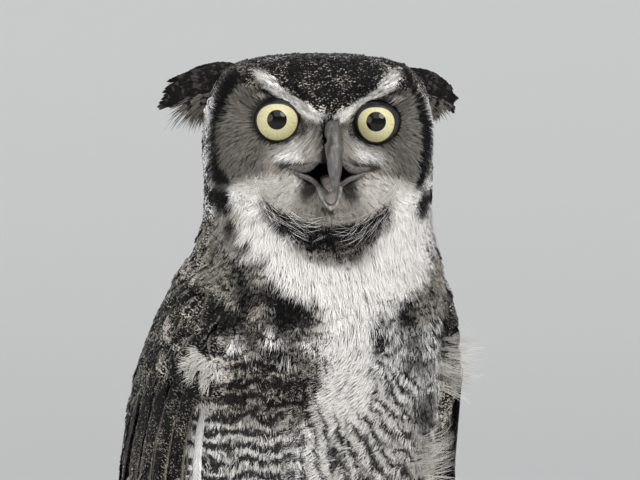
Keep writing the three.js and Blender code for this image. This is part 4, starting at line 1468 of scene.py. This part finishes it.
def tuft_growths():
    """Down that stands out: at the shoulder, at the flank and at the wrist of the folded wing."""
    loose = forms_of(wisp, 8, 81, strands=9, spread=0.42, width=0.011, loft=0.12, steps=6)
    dense = forms_of(wisp, 6, 82, strands=14, spread=0.6, width=0.03, loft=0.1, steps=4)
    shoulder = {"tint": "down", "shades": 0.2, "sway": 24, "tuck": -0.4, "bend": 0.1, "rise": (9, 20)}
    flank = shoulder | {"rise": (5, 18)}
    wrist = {"tint": "bristle", "shades": 0.1, "sway": 40, "tuck": -0.2, "bend": 0.1, "rise": (1, 4)}

    def tuft(centre, half):
        return lambda at: (spot(at.round, at.height, centre, half, 0.1) > 0.5) & at.on("trunk", "wing")

    return {
        "coat_tufts": [
            Growth(loose, tuft((90, 268), (9, 15)), sweeping(1, 0.1), 3.2, (11, 17), **shoulder),
            Growth(loose, tuft((70, 215), (12, 12)), sweeping(0.8, 0.7), 3.4, (20, 30), **flank),
            Growth(dense, tuft((-95, 260), (6, 8)), sweeping(-0.5, -0.8), 2.2, (12, 17), **wrist),
        ]
    }


def leg_growths():
    fine = forms_of(wisp, 5, 71, strands=7, spread=0.22, width=0.06, loft=0.06)
    return {
        "coat_legs": [
            Growth(fine, lambda at: at.on("thigh"), along_limb, 3.2, (13, 17), rise=(-0.5, 0.8)),
            Growth(fine, lambda at: at.on("shank"), along_limb, 2.4, (8, 11), rise=(-0.5, 0.5)),
            Growth(fine, is_above_sole, along_limb, 1.9, (5, 7), rise=(-0.4, 0.2)),
        ]
    }


# ---- Long feathers ----


def inside_solid(name):
    """A tree to cast rays at, of one solid."""
    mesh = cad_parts[name].data
    faces = [polygon.vertices[:] for polygon in mesh.polygons]
    return BVHTree.FromPolygons([tuple(v.co) for v in mesh.vertices], faces)


def first_hit(tree, start, heading):
    """Where a ray meets a solid, or the solid's nearest place to the ray's start."""
    place, normal, _, _ = tree.ray_cast(Vector(start), Vector(unit(heading)))
    if place is None:
        place, normal, _, _ = tree.find_nearest(Vector(start))
    return np.array(place), np.array(normal)


def edge_bearings(name):
    """Heights up a folded wing, and the bearings of its front and rear edges at each."""
    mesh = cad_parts[name].data
    ends = np.array([[mesh.vertices[k].co for k in edge.vertices] for edge in mesh.edges])
    found = np.concatenate([ends[:, 0] + t * (ends[:, 1] - ends[:, 0]) for t in np.linspace(0, 1, 9)])
    bearing, height = round_body(found)
    levels = np.linspace(height.min() + 4, height.max() - 4, 12)
    bands = [bearing[abs(height - level) < 8] * np.sign(np.median(bearing)) for level in levels]
    return levels, np.array([b.min() for b in bands]), np.array([b.max() for b in bands])


def spoke(bearing, height):
    """A point well outside the body at a bearing and a height, and the way out to it."""
    turn = math.radians(bearing)
    out = np.array([math.sin(turn), -math.cos(turn), 0])
    return np.array([BODY_X, np.interp(height, BODY_HEIGHTS, BODY_BACK), height]) + out * 0.25, out


WING_QUILLS = 15
QUILL_LENGTH = 118  # of the part of a wing's feather that shows, in millimetres


def wing_quills(side):
    """The spines of one folded wing's long feathers, from the leading edge to the inmost."""
    name = f"flight_feathers_{side}"
    tree = inside_solid(name)
    levels, front, rear = edge_bearings(name)
    top, low = levels[-1], levels[0]
    spines = []
    for number in range(WING_QUILLS):
        share = number / (WING_QUILLS - 1)
        end = low + 66 * share**1.15
        start = min(top + 6, end + QUILL_LENGTH)
        line = []
        for height in (start, (start + end) / 2, end):
            edges = np.interp(height, levels, front), np.interp(height, levels, rear)
            inner = 0.06 + 0.88 * share if height < start else 0.1 + 0.8 * share
            bearing = (edges[0] + inner * (edges[1] - edges[0])) * SIDES[side]
            away, out = spoke(bearing, height * MM)
            line.append(first_hit(tree, away, -out))
        spines.append((line, number * 0.35 * MM))
    return spines


# Where the tail's feathers pass, at the root, the middle and the tip: how far aside for the middle
# pair and how much farther for each pair beyond it, then the same for the height.
TAIL_STATIONS = [(2, 3.2, 118, 0), (3, 5.0, 62, 0), (4, 5.4, 7, 0.9)]


def tail_quills():
    """The spines of the tail's feathers, from the outermost pair to the middle one on top."""
    tree = inside_solid("tail")
    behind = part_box("tail")[1].y + 0.1
    spines = []
    for pair in range(5, -1, -1):
        for sign in (1, -1):
            line = []
            for across, wider, height, higher in TAIL_STATIONS:
                x = BODY_X + sign * (across + wider * pair) * MM
                line.append(first_hit(tree, (x, behind, (height + higher * pair) * MM), (0, -1, 0)))
            spines.append((line, (-0.5 * pair - (0.25 if sign > 0 else 0)) * MM))
    return spines


# The long coverts along the front of the folded wing, after the white edge of the feather before
# them: bearing and height of the root and of the tip.
COVERTS = [
    ((-62, 240), (-66, 166)),
    ((-66, 262), (-75, 176)),
    ((-73, 262), (-83, 170)),
    ((-81, 256), (-92, 162)),
    ((-90, 250), (-102, 156)),
    ((-99, 246), (-112, 152)),
    ((-109, 240), (-122, 150)),
]


def covert_quills(side):
    """The spines of one wing's long coverts, the foremost on top."""
    spines = []
    for number, (root, tip) in enumerate(COVERTS):
        line = []
        for share in (0, 0.5, 1):
            bearing = (root[0] + share * (tip[0] - root[0])) * -SIDES[side]
            away, out = spoke(bearing, (root[1] + share * (tip[1] - root[1])) * MM)
            line.append((first_hit(Owl.outline.tree, away, -out)[0], out))
        spines.append((line, (0.9 + 0.25 * (len(COVERTS) - number)) * MM))
    return spines


# The fans of each ear tuft: how many feathers, and across and up in the head's frame for the first
# and last root and for the first and last tip.
EAR_FANS = {
    "right": [
        (30, (45, 40), (57, 27), (89, 32), (96, 16)),
        (13, (56, 27), (64, 20), (97, 5), (74, -1)),
    ],
    "left": [
        (28, (45, 39), (57, 27), (81, 32), (86, 17)),
        (12, (58, 26), (64, 20), (88, 12), (71, 7)),
    ],
}


def ear_quills(side, fan, rng):
    """The spines of one fan of an ear tuft, bent so that the whole droops."""
    count, root_0, root_1, tip_0, tip_1 = fan
    up = unit(np.array([0, -1.0, 0.1]) @ HEAD_TURN)
    spines = []
    for number in range(count):
        share = number / (count - 1)
        root = np.add(np.multiply(root_0, 1 - share), np.multiply(root_1, share))
        tip = np.add(np.multiply(tip_0, 1 - share), np.multiply(tip_1, share))
        tip = root + (tip - root) * rng.uniform(0.84, 1.03)
        half = (root + tip) / 2 + (1.5, 4.2 - 2.4 * share)
        back = rng.uniform(8, 12)
        places = ((*root, -1), (*half, 1 + 2 * share), (*tip, back))
        line = [(from_head((x * SIDES[side], y, z)), up) for x, z, y in places]
        spines.append((line, 0.35 * MM * (number % 3)))
    return spines


UNBARRED = 1000.0  # millimetres from bar to bar, of feathers that show none
BAR_JITTER = 0.35  # how far neighbouring long feathers' bars are out of step


def lay_quills(coat, forms, spines, half_width, bar, tint, dark=0.0, sway=0.0, mottle=0.25):
    """Lays one long feather along each spine, with bars a set number of millimetres apart. dark is
    how much of it they cover, and sway how unevenly it bends."""
    lines = np.array([[place for place, _ in line] for line, _ in spines])
    ups = np.array([[up for _, up in line] for line, _ in spines])
    lift = np.array([above for _, above in spines])[:, None]
    root, half, full = (lines[:, k] + ups[:, k] * lift for k in range(3))
    count = len(spines)
    near, _, faces = coat.skin.nearest(root)
    marks = Marks(count, tint, mottle)
    marks.bars[:] = dark
    length = np.linalg.norm(half - root, axis=1) + np.linalg.norm(full - half, axis=1)
    marks.phase = coat.rng.uniform(0, BAR_JITTER, count)
    uv = coat.skin.uv_at(near, faces)
    growth = Growth(forms, None, None, 1, (1, 1), round=0.35, chevron=0.5, bar=bar)
    kinds = coat.rng.integers(0, len(forms), count)
    for kind, form in enumerate(forms):
        rows = np.flatnonzero(kinds == kind)
        if len(rows) == 0:
            continue
        chosen = {
            "length": length[rows],
            "breadth": half_width * MM / (form.half * length[rows]),
            "roll": np.radians(coat.rng.normal(0, 3, len(rows))),
            "bend": coat.rng.normal(0, sway, len(rows)),
            "seed": coat.rng.random(len(rows)),
        }
        spines_of = [s[rows] for s in (root, half, full, ups[:, 0], ups[:, 1], ups[:, 2])]
        coat.add(form, spines_of, marks, rows, uv[rows], growth, chosen)


# ---- Eyes, bill and claws ----

OPENING = 12.6  # half width of the opening between the lids
IRIS = 13.3
PUPIL = 5.8
CORNEA = 2.4  # how far the cornea stands off the round of the eye
GAZE = {"left": -8, "right": 8}  # degrees by which each eye looks outwards, both at one place
EYE_INWARD = {"left": -1.4 * MM, "right": 0.2 * MM}  # how far each stands nearer the middle
UPPER_LID = {"left": 3.9, "right": 3.0}  # how far the upper lid comes down
LID_SPREAD = {"left": 0.87, "right": 0.97}  # how wide the opening is for its height
LID_COVER = 3.3  # how far over the iris the upper lid lies


def eye_centre(side):
    return EYES[side] - HEAD_X * SIDES[side] * EYE_INWARD[side]


def eye_turn(side):
    """Right, up and out of an eye, as rows."""
    turn = math.radians(GAZE[side]) * SIDES[side]
    out = unit(np.array([math.sin(turn), -math.cos(turn), 0]) @ HEAD_TURN)
    right = unit(np.cross(out, HEAD_Z)) * -1
    return np.array([right, np.cross(out, right), out])


def eye_height(r):
    """How far out the eye's surface stands at a distance from its axis, in millimetres."""
    ball = math.sqrt(max(0.0, (EYE_RADIUS / MM) ** 2 - r * r))
    return ball + CORNEA * max(0.0, 1 - (r / IRIS) ** 2)


def placed(bm, turn, origin):
    """Moves a bmesh in millimetres to its place on the owl, given the rows of its own frame."""
    for vert in bm.verts:
        vert.co = Vector(np.array(vert.co) * MM @ turn + origin)
    outwards(bm)


def eyeball(side):
    """The round of an eye with its cornea. own gives its material each point across and up, and how
    far out it is from the opening between the lids."""
    bm = bmesh.new()
    bmesh.ops.create_uvsphere(bm, u_segments=48, v_segments=48, radius=EYE_RADIUS / MM)
    own = []
    for vert in bm.verts:
        x, y, z = vert.co
        if z > 0:
            vert.co.z = eye_height(math.hypot(x, y))
        own.append((x, y, max(math.hypot(x / LID_SPREAD[side], y), y + LID_COVER)))
    placed(bm, eye_turn(side), eye_centre(side))
    made = piece_of(f"eyeball_{side}", bm)
    keep_at_points(made.data, "own", np.array(own))
    return made


# The lids' cross-section: how far outside the opening, and how far above the eye.
LID_PROFILE = [(0.2, -0.8), (-0.1, 0.1), (0.25, 0.7), (0.8, 0.9), (1.35, 0.5), (1.9, 0.75), (2.5, 0.4)]
LID_PROFILE += [(2.8, -0.6), (2.7, -1.8), (1.4, -1.8)]


def lids(side):
    """Both lids as one roll round the opening, drawn down over the eye at the top."""
    bm = turned([(OPENING + out, lift) for out, lift in LID_PROFILE], closed=True)
    for vert in bm.verts:
        turn = math.atan2(vert.co.y, vert.co.x)
        out = math.hypot(vert.co.x, vert.co.y) - OPENING
        upper = max(0.0, math.sin(turn))
        lower = max(0.0, -math.sin(turn))
        r = OPENING - UPPER_LID[side] * upper**1.8 - 0.5 * lower**2 + out * (1 + 0.3 * upper)
        across = r * math.cos(turn) * LID_SPREAD[side]
        up = r * math.sin(turn)
        vert.co = Vector((across, up, eye_height(math.hypot(across, up)) + vert.co.z))
    placed(bm, eye_turn(side), eye_centre(side))
    return piece_of(f"lids_{side}", bm)


# Stations down the upper bill in the head's frame: back, up, half width, half height.
UPPER_BILL = [
    (-55, 5, 4.2, 5.4),
    (-60, 3, 4.7, 7.0),
    (-65, -0.5, 5.2, 7.4),
    (-69, -6, 5.7, 7.0),
    (-71.6, -10.5, 5.3, 6.2),
    (-73.6, -15.5, 4.6, 5.1),
    (-75, -20.5, 4.0, 4.2),
    (-75.2, -25.5, 3.0, 3.2),
    (-74.2, -29.5, 1.9, 2.1),
    (-72.8, -32.4, 0.9, 1.0),
    (-72.1, -33.4, 0.35, 0.4),
]


def smooth_path(stations, steps):
    """Stations read more closely, along a curve through them."""
    stations = np.array(stations, float)
    far = np.concatenate([[0], np.cumsum(np.linalg.norm(np.diff(stations[:, :-1], axis=0), axis=1))])
    at = np.linspace(0, far[-1], steps)
    slope = np.gradient(stations, far, axis=0)
    n = np.clip(np.searchsorted(far, at, side="right") - 1, 0, len(far) - 2)
    width = (far[n + 1] - far[n])[:, None]
    t = (at - far[n])[:, None] / width
    a, b = stations[n], stations[n + 1]
    first = (2 * t**3 - 3 * t**2 + 1) * a + (t**3 - 2 * t**2 + t) * width * slope[n]
    return first + (3 * t**2 - 2 * t**3) * b + (t**3 - t**2) * width * slope[n + 1]


def ring_of(bm, segments):
    """A ring of new vertices in a bmesh, and the edges between them."""
    ring = bmesh.ops.create_circle(bm, cap_ends=False, radius=1, segments=segments)["verts"]
    return ring, [edge for edge in bm.edges if edge.verts[0] in ring and edge.verts[1] in ring]


def bridged(bm, rings):
    """Joins each ring of edges to the next."""
    for one, other in zip(rings, rings[1:]):
        bmesh.ops.bridge_loops(bm, edges=one + other)


def close_ends(bm):
    bmesh.ops.holes_fill(bm, edges=[edge for edge in bm.edges if edge.is_boundary])


def on_head(name, bm):
    """The piece that a bmesh of bridged rings in the head's frame becomes."""
    close_ends(bm)
    placed(bm, HEAD_TURN, HEAD_AT)
    return piece_of(name, bm)


def upper_bill():
    """A hooked shell with a rounded ridge, a swollen cere, nostrils and sharp cutting edges."""
    bm = bmesh.new()
    path = smooth_path(UPPER_BILL, 40)
    heading = unit(np.gradient(path[:, :2], axis=0))
    rings = []
    for (back, up, half, rise), (dy, dz) in zip(path, heading):
        ring, edges = ring_of(bm, 40)
        rings.append(edges)
        for vert in ring:
            turn = math.atan2(vert.co.y, vert.co.x)
            top = max(0.0, math.sin(turn))
            under = max(0.0, -math.sin(turn))
            x = half * math.cos(turn) * (1 - 0.16 * top**2) * (1 - 0.25 * under**3)
            out = rise * math.sin(turn) * (1 - 0.3 * under)
            nostril = spot(abs(x), up + out * 0.6, (4.4, -2.5), (1.7, 2.4), 0.5)
            x *= 1 - 0.28 * float(nostril)
            swell = 1 + 0.13 * top * math.exp(-(((up + 9) / 1.3) ** 2))
            x, out = x * swell, out * swell
            vert.co = Vector((x + BILL_ASIDE, back - out * -dz, up - out * dy))
    bridged(bm, rings)
    return on_head("upper_bill", bm)


# Stations along the lower bill in the head's frame: back, up to its rims, half width, depth.
LOWER_BILL = [
    (-49, -26.2, 8.7, 9),
    (-56, -28.2, 8.3, 9),
    (-62, -31.6, 7.5, 7.6),
    (-66.3, -35.6, 6.2, 5.6),
    (-69.2, -39.4, 4.4, 3.6),
    (-70.6, -42.0, 2.5, 2.2),
    (-71.1, -43.2, 0.8, 0.9),
]


def lower_bill():
    """A trough with raised, rounded rims that meet in a tip."""
    bm = bmesh.new()
    path = smooth_path(LOWER_BILL, 26)
    heading = unit(np.gradient(path[:, :2], axis=0))
    rings = []
    for (back, up, half, deep), (dy, dz) in zip(path, heading):
        ring, edges = ring_of(bm, 28)
        rings.append(edges)
        for number, vert in enumerate(ring):
            inner = number >= 14
            turn = math.pi * (1 + (27 - number if inner else number) / 13)
            wall = 1 - inner * (0.27 + 0.1 * abs(math.sin(turn)))
            x = half * wall * math.cos(turn)
            out = deep * wall * math.sin(turn) + 0.8 * abs(math.cos(turn)) ** 6
            vert.co = Vector((x, back + out * dz, up - out * dy))
    bridged(bm, rings)
    return on_head("lower_bill", bm)


# Each lip from the corner of the mouth to the bill, in the head's frame: across, back, up, half height.
UPPER_LIP = [(27, -54.5, -18.6, 0.3), (24, -56.8, -18.6, 1.2), (20, -58.4, -18.9, 1.7)]
UPPER_LIP += [(16.5, -59.2, -19.4, 2.3), (13, -59.8, -18.6, 2.6), (9.5, -60.2, -16.2, 2)]
UPPER_LIP += [(6.5, -60.4, -14.2, 1)]
LOWER_LIP = [(27, -54.5, -19.4, 0.3), (24, -56.8, -20.4, 0.9), (20, -58.8, -22, 1.3)]
LOWER_LIP += [(16, -60, -23.6, 1.5), (12, -60.6, -25, 1.6), (8.6, -60, -27.4, 1.5), (6.8, -58.6, -30, 1)]


def lips():
    """The rolled bare edges of the mouth, which close its corners."""
    bm = bmesh.new()
    for side in SIDES.values():
        for stations in (UPPER_LIP, LOWER_LIP):
            path = smooth_path([(x * side, y, z, half) for x, y, z, half in stations], 26)
            rings = []
            for (x, y, z, half), ahead in zip(path, unit(np.gradient(path[:, :3], axis=0))):
                out = unit(np.cross(ahead, np.cross([0, -1, 0], ahead)))
                up = np.cross(ahead, out)
                ring, edges = ring_of(bm, 14)
                rings.append(edges)
                for vert in ring:
                    lift = out * vert.co.x * half * 0.75 + up * vert.co.y * half
                    vert.co = Vector(np.array([x, y, z]) + lift)
            bridged(bm, rings)
    return on_head("lips", bm)


def softened(name, node_name, voxel, rounds):
    """A solid's own shape with its facets rounded off."""
    mesh = one_surface(solids_together([node_name], 0), voxel, rounds)
    mesh.shade_smooth()
    return linked(name, mesh)


CLAW_RINGS = 15


def claw(name):
    """A smooth tapering hook along a claw's solid."""
    found = np.unique(corners(name).round(6), axis=0)
    toe = middle(name.replace("talon", "toe"))
    order = np.argsort(np.linalg.norm(found - toe, axis=1))
    root, tip = found[order[:12]].mean(axis=0), found[order[-1]]
    run = unit(tip - root)
    along = (found - root) @ run / np.linalg.norm(tip - root)
    bend = found[(along > 0.35) & (along < 0.7)].mean(axis=0)
    root_half = abs((found - root) @ unit(np.cross(run, [0, 0, 1]))).max()
    bm = bmesh.new()
    rings = []
    for t in np.linspace(0, 1, CLAW_RINGS).tolist():
        mid = 2 * bend - (root + tip) / 2
        at = (1 - t) ** 2 * root + 2 * t * (1 - t) * mid + t * t * tip
        ahead = unit((1 - t) * (mid - root) + t * (tip - mid))
        side = unit(np.cross(ahead, [0, 0, 1]))
        up = np.cross(side, ahead)
        half = root_half * (1 - t) ** 0.75 * (1 + 0.12 * math.sin(math.pi * min(1, 3 * t))) + 0.12 * MM
        ring, edges = ring_of(bm, 16)
        rings.append(edges)
        for vert in ring:
            vert.co = Vector(at + half * (side * vert.co.x * 0.88 + up * vert.co.y))
    bridged(bm, rings)
    close_ends(bm)
    outwards(bm)
    return piece_of(name.replace("talon", "claw"), bm)


# ---- Operators ----


class Owl:
    """What the operators share: the skin and the outline that feathers lie between."""

    skin = None
    outline = None


class OWL_OT_skin(bpy.types.Operator):
    """Grow the one skin under the coat, and the outline that its feathers reach"""

    bl_idname = "owl.skin"
    bl_label = "Skin"

    def execute(self, context):
        mesh = grow_skin()
        made = linked("skin", mesh)
        unwrap(made)
        Owl.skin = Skin(mesh)
        colours = context.scene.owl_colours
        marks = marks_at(Places(Owl.skin.places, Owl.skin.parts), colours)
        keep_at_points(mesh, "tint", np.column_stack([marks.tint, np.zeros(len(marks.tint))]))
        keep_at_points(mesh, "marks", np.column_stack([marks.phase, marks.bars, marks.mottle]))
        mesh.shade_smooth()
        dressed(made, skin_under_down("skin under down", colours.ink, 3 * MM), "plumage", *FLESH)
        outline = one_surface(solids_together(FLESH + LONG_FEATHERS, GROWN), OUTLINE_VOXEL, 4)
        open_sockets(outline, OUTLINE_LIFT)
        smooth_mesh(outline, 1)
        Owl.outline = Surface(outline)
        return {"FINISHED"}


def unwrap(piece):
    """Lays the skin's own surface out flat, for the coat's OFBake maps."""
    bpy.context.view_layer.objects.active = piece
    piece.select_set(True)
    bpy.ops.object.mode_set(mode="EDIT")
    bpy.ops.mesh.select_all(action="SELECT")
    bpy.ops.uv.smart_project(angle_limit=math.radians(66), island_margin=0.002)
    bpy.ops.object.mode_set(mode="OBJECT")
    piece.select_set(False)


def grow_pieces(growths, grain, seed, **look):
    """Makes each named coat piece from its growths, in feathers with mottles grain millimetres across."""
    ink = bpy.context.scene.owl_colours.ink
    material = feather_keratin(f"feather keratin, mottled {grain:g} mm", ink, grain * MM, **look)
    for number, (name, kinds) in enumerate(growths.items()):
        coat = Coat(seed + number)
        for kind in kinds:
            coat.grow(kind)
        coat.piece(name, material, "plumage")


class OWL_OT_head_coat(bpy.types.Operator):
    """Grow the small feathers of the crown, the fine ones of the face, and the throat's down"""

    bl_idname = "owl.head_coat"
    bl_label = "Head and throat"

    def execute(self, context):
        grow_pieces(head_growths(), 1.1, seed=1, strands=0.5)
        grow_pieces(face_growths(), 1.5, seed=2, strands=0.45)
        grow_pieces(throat_growths(), 3.2, seed=3, strands=0.09, shaded=0.22)
        return {"FINISHED"}


class OWL_OT_body_coat(bpy.types.Operator):
    """Grow the feathers of the breast, belly, back, wings and legs"""

    bl_idname = "owl.body_coat"
    bl_label = "Body and wings"

    def execute(self, context):
        grow_pieces(breast_growths(), 2.2, seed=4, strands=0.1, shaded=0.25)
        grow_pieces(back_growths(), 1.1, seed=5, strands=0.4, fringe=0.5)
        grow_pieces(wing_growths("left"), 1.1, seed=6, strands=0.4, fringe=0.5)
        grow_pieces(wing_growths("right"), 1.1, seed=7, strands=0.4, fringe=0.5)
        grow_pieces(leg_growths(), 2.6, seed=8)
        grow_pieces(tuft_growths(), 2.6, seed=9, strands=0.1, shaded=0.2)
        return {"FINISHED"}


class OWL_OT_eyes(bpy.types.Operator):
    """Make the eyes and their lids"""

    bl_idname = "owl.eyes"
    bl_label = "Eyes"

    def execute(self, context):
        colours = context.scene.owl_colours
        wet = eye_under_cornea("eye, cornea over iris", colours.iris, colours.iris_rim)
        lid = bare_skin("bare skin of the lids", colours.lid, 0.3)
        for side in SIDES:
            dressed(eyeball(side), wet, "eye", f"eye_{side}")
            dressed(lids(side), lid, "face")
        return {"FINISHED"}


class OWL_OT_horn(bpy.types.Operator):
    """Make the bill, the tongue and the claws"""

    bl_idname = "owl.horn"
    bl_label = "Bill and claws"

    def execute(self, context):
        colours = context.scene.owl_colours
        bill = horn("horn of the bill, layered keratin", colours.bill, colours.bill_dark)
        dressed(upper_bill(), bill, "horn", "bill_upper")
        pale = horn("horn of the lower bill, layered keratin", colours.bill_pale, colours.bill)
        dressed(lower_bill(), pale, "horn", "bill_lower")
        dressed(lips(), bare_skin("bare skin of the lips", colours.lips, 0.2), "face")
        flesh = bare_skin("wet skin of the tongue", colours.tongue, 0.8)
        dressed(softened("tongue_tip", "tongue", 0.5 * MM, 3), flesh, "tongue", "tongue")
        black = horn("horn of the claws, layered keratin", colours.claw, colours.claw, 0.3)
        for side in SIDES:
            for toe in TOES:
                name = f"talon_{toe}_{side}"
                dressed(claw(name), black, "horn", name)
        return {"FINISHED"}


# How many different vanes of each kind, and the barbs, half, point, fray, loft, shoulder and slant
# that plume makes them with.
VANES = {
    "stiff": (4, (34, 0.09, 0.75, 0.12, 0.004, 0.86, 0.12)),
    "soft": (6, (26, 0.07, 0.0, 0.7, 0.02, 0.05, 0.3)),
    "dense": (3, (64, 0.09, 0.85, 0.1, 0.003, 0.86, 0.12)),
    "edging": (1, (50, 0.09, 0.6, 0.5, 0.003, 0.9, 0.1)),
}
QUILL_SEED = 90


class OWL_OT_quills(bpy.types.Operator):
    """Lay the long feathers of the wings, the tail and the ear tufts"""

    bl_idname = "owl.quills"
    bl_label = "Long feathers"

    def execute(self, context):
        c = context.scene.owl_colours
        rng = np.random.default_rng(QUILL_SEED)
        barred = feather_keratin("feather keratin, barred quills", c.ink, 1.4 * MM, 0.3, wander=0.22)
        edged = feather_keratin("feather keratin, pale-edged coverts", c.ink, 0.9 * MM, 0.4, 0.8)
        fluffy = feather_keratin("feather keratin, loose vanes", c.ink, 6.0 * MM, 0.6, 0.2)
        vanes = {name: [plume(rng, *shape) for _ in range(count)] for name, (count, shape) in VANES.items()}
        thin = [wisp(rng, 12, 0.09, 0.024, 0.05, 6) for _ in range(5)]
        for side in SIDES:
            coat = Coat(QUILL_SEED + 1)
            lay_quills(coat, vanes["stiff"], wing_quills(side), 9.5, 16.0, c.buff, 0.5)
            coat.piece(f"wing_quills_{side}", barred, "quills", f"flight_feathers_{side}")
            coat = Coat(QUILL_SEED + 2)
            first, *rest = covert_quills(side)
            if side == "right":
                lay_quills(coat, vanes["edging"], [first], 4.0, UNBARRED, c.white, mottle=0.0)
            lay_quills(coat, vanes["dense"], rest, 8.4, UNBARRED, c.buff, mottle=0.8)
            coat.piece(f"coat_coverts_{side}", edged, "quills")
            coat = Coat(QUILL_SEED + 3)
            dark, loose = (ear_quills(side, fan, rng) for fan in EAR_FANS[side])
            lay_quills(coat, vanes["soft"], dark, 3.4, UNBARRED, c.shade, sway=0.04, mottle=0.7)
            lay_quills(coat, thin, loose, 3.4, UNBARRED, c.grey, sway=0.1, mottle=0.5)
            coat.piece(f"ear_feathers_{side}", fluffy, "tufts", f"ear_tuft_{side}")
        coat = Coat(QUILL_SEED + 5)
        lay_quills(coat, vanes["stiff"], tail_quills(), 10.5, 18.0, c.buff, 0.5)
        coat.piece("tail_quills", barred, "quills", "tail")
        return {"FINISHED"}


# The backdrop's profile, outwards and up in metres, and each soft light's name, bearing from straight
# ahead, height, distance, size and power.
STAGE_PROFILE = [(0, 0), (6, 0), (13, 0), (15, 0.2), (17, 0.9), (19, 2.6), (20.4, 5.5), (21, 9)]
LIGHTS = [
    ("key", 14, 1.3, 1.4, 0.9, 15),
    ("fill", -70, 0.7, 1.7, 1.2, 9),
    ("rim", 165, 1.3, 1.6, 0.8, 14),
]
LIGHTS_AIM = (0, 0, 0.3)
SUN_TURN = (math.radians(50), 0, math.radians(-10))
SUN_STRENGTH, SUN_SPREAD = 1.1, math.radians(60)
AIR_COLOUR, AIR_STRENGTH = (0.93, 0.96, 1, 1), 0.55
VIEW_BEARING = -24
VIEW_AT = (HEAD_AT[0], HEAD_AT[1] + 14 * MM, 339 * MM)
VIEW_ASIDE = 7 * MM
VIEW_WIDTH, VIEW_DISTANCE = 384 * MM, 5.0
FILM_WIDTH = 36


class OWL_OT_stage(bpy.types.Operator):
    """Make the floor, the lights and the camera"""

    bl_idname = "owl.stage"
    bl_label = "Stage"

    def execute(self, context):
        scene = context.scene
        bm = turned(STAGE_PROFILE, closed=False)
        bmesh.ops.recalc_face_normals(bm, faces=bm.faces)
        floor = piece_of("floor", bm)
        material, add = new_material("paper backdrop")
        surfaced(add, (*scene.owl_colours.backdrop, 1), roughness=0.9)
        floor.data.materials.append(material)
        for name, bearing, height, away, size, power in LIGHTS:
            light = bpy.data.lights.new(name, "AREA")
            light.shape, light.size, light.energy = "DISK", size, power
            lamp = linked(name, light)
            turn = math.radians(bearing)
            lamp.location = (away * math.sin(turn), -away * math.cos(turn), height)
            aim = Vector(LIGHTS_AIM) - lamp.location
            lamp.rotation_euler = aim.to_track_quat("-Z", "Y").to_euler()
        light = bpy.data.lights.new("wide", "SUN")
        light.energy, light.angle = SUN_STRENGTH, SUN_SPREAD
        linked("wide", light).rotation_euler = SUN_TURN
        world = bpy.data.worlds.new("studio air")
        world.use_nodes = True
        air = world.node_tree.nodes["Background"].inputs
        air["Color"].default_value = AIR_COLOUR
        air["Strength"].default_value = AIR_STRENGTH
        scene.world = world
        scene.view_settings.view_transform = "Standard"
        self.camera(scene)
        return {"FINISHED"}

    def camera(self, scene):
        turn = math.radians(VIEW_BEARING)
        right = Vector((math.cos(turn), math.sin(turn), 0))
        back = Vector((math.sin(turn), -math.cos(turn), 0))
        aim = Vector(VIEW_AT) + right * VIEW_ASIDE
        data = bpy.data.cameras.new("camera")
        data.sensor_width = FILM_WIDTH
        data.lens = FILM_WIDTH / (VIEW_WIDTH / VIEW_DISTANCE)
        data.clip_start, data.clip_end = 0.01, 100
        camera = linked("camera", data)
        camera.location = aim + back * VIEW_DISTANCE
        camera.rotation_euler = (aim - camera.location).to_track_quat("-Z", "Y").to_euler()
        scene.camera = camera


class OWL_PT_panel(bpy.types.Panel):
    """Lists the owl's pieces in the order they are made"""

    bl_label = "Great horned owl"
    bl_space_type = "VIEW_3D"
    bl_region_type = "UI"
    bl_category = "Owl"

    def draw(self, context):
        for group in (context.scene.owl_sizes, context.scene.owl_colours):
            for name in group.__annotations__:
                self.layout.prop(group, name)
        for operator in OPERATORS:
            self.layout.operator(operator.bl_idname)


OPERATORS = (
    OWL_OT_skin,
    OWL_OT_eyes,
    OWL_OT_horn,
    OWL_OT_head_coat,
    OWL_OT_body_coat,
    OWL_OT_quills,
    OWL_OT_stage,
)
CLASSES = (OwlColours, OwlSizes, *OPERATORS, OWL_PT_panel)


def register():
    for cls in CLASSES:
        bpy.utils.register_class(cls)
    bpy.types.Scene.owl_colours = bpy.props.PointerProperty(type=OwlColours)
    bpy.types.Scene.owl_sizes = bpy.props.PointerProperty(type=OwlSizes)


def unregister():
    del bpy.types.Scene.owl_sizes
    del bpy.types.Scene.owl_colours
    for cls in reversed(CLASSES):
        bpy.utils.unregister_class(cls)


def main():
    register()
    for operator in OPERATORS:
        group, name = operator.bl_idname.split(".")
        getattr(getattr(bpy.ops, group), name)()


if __name__ == "__main__":
    main()
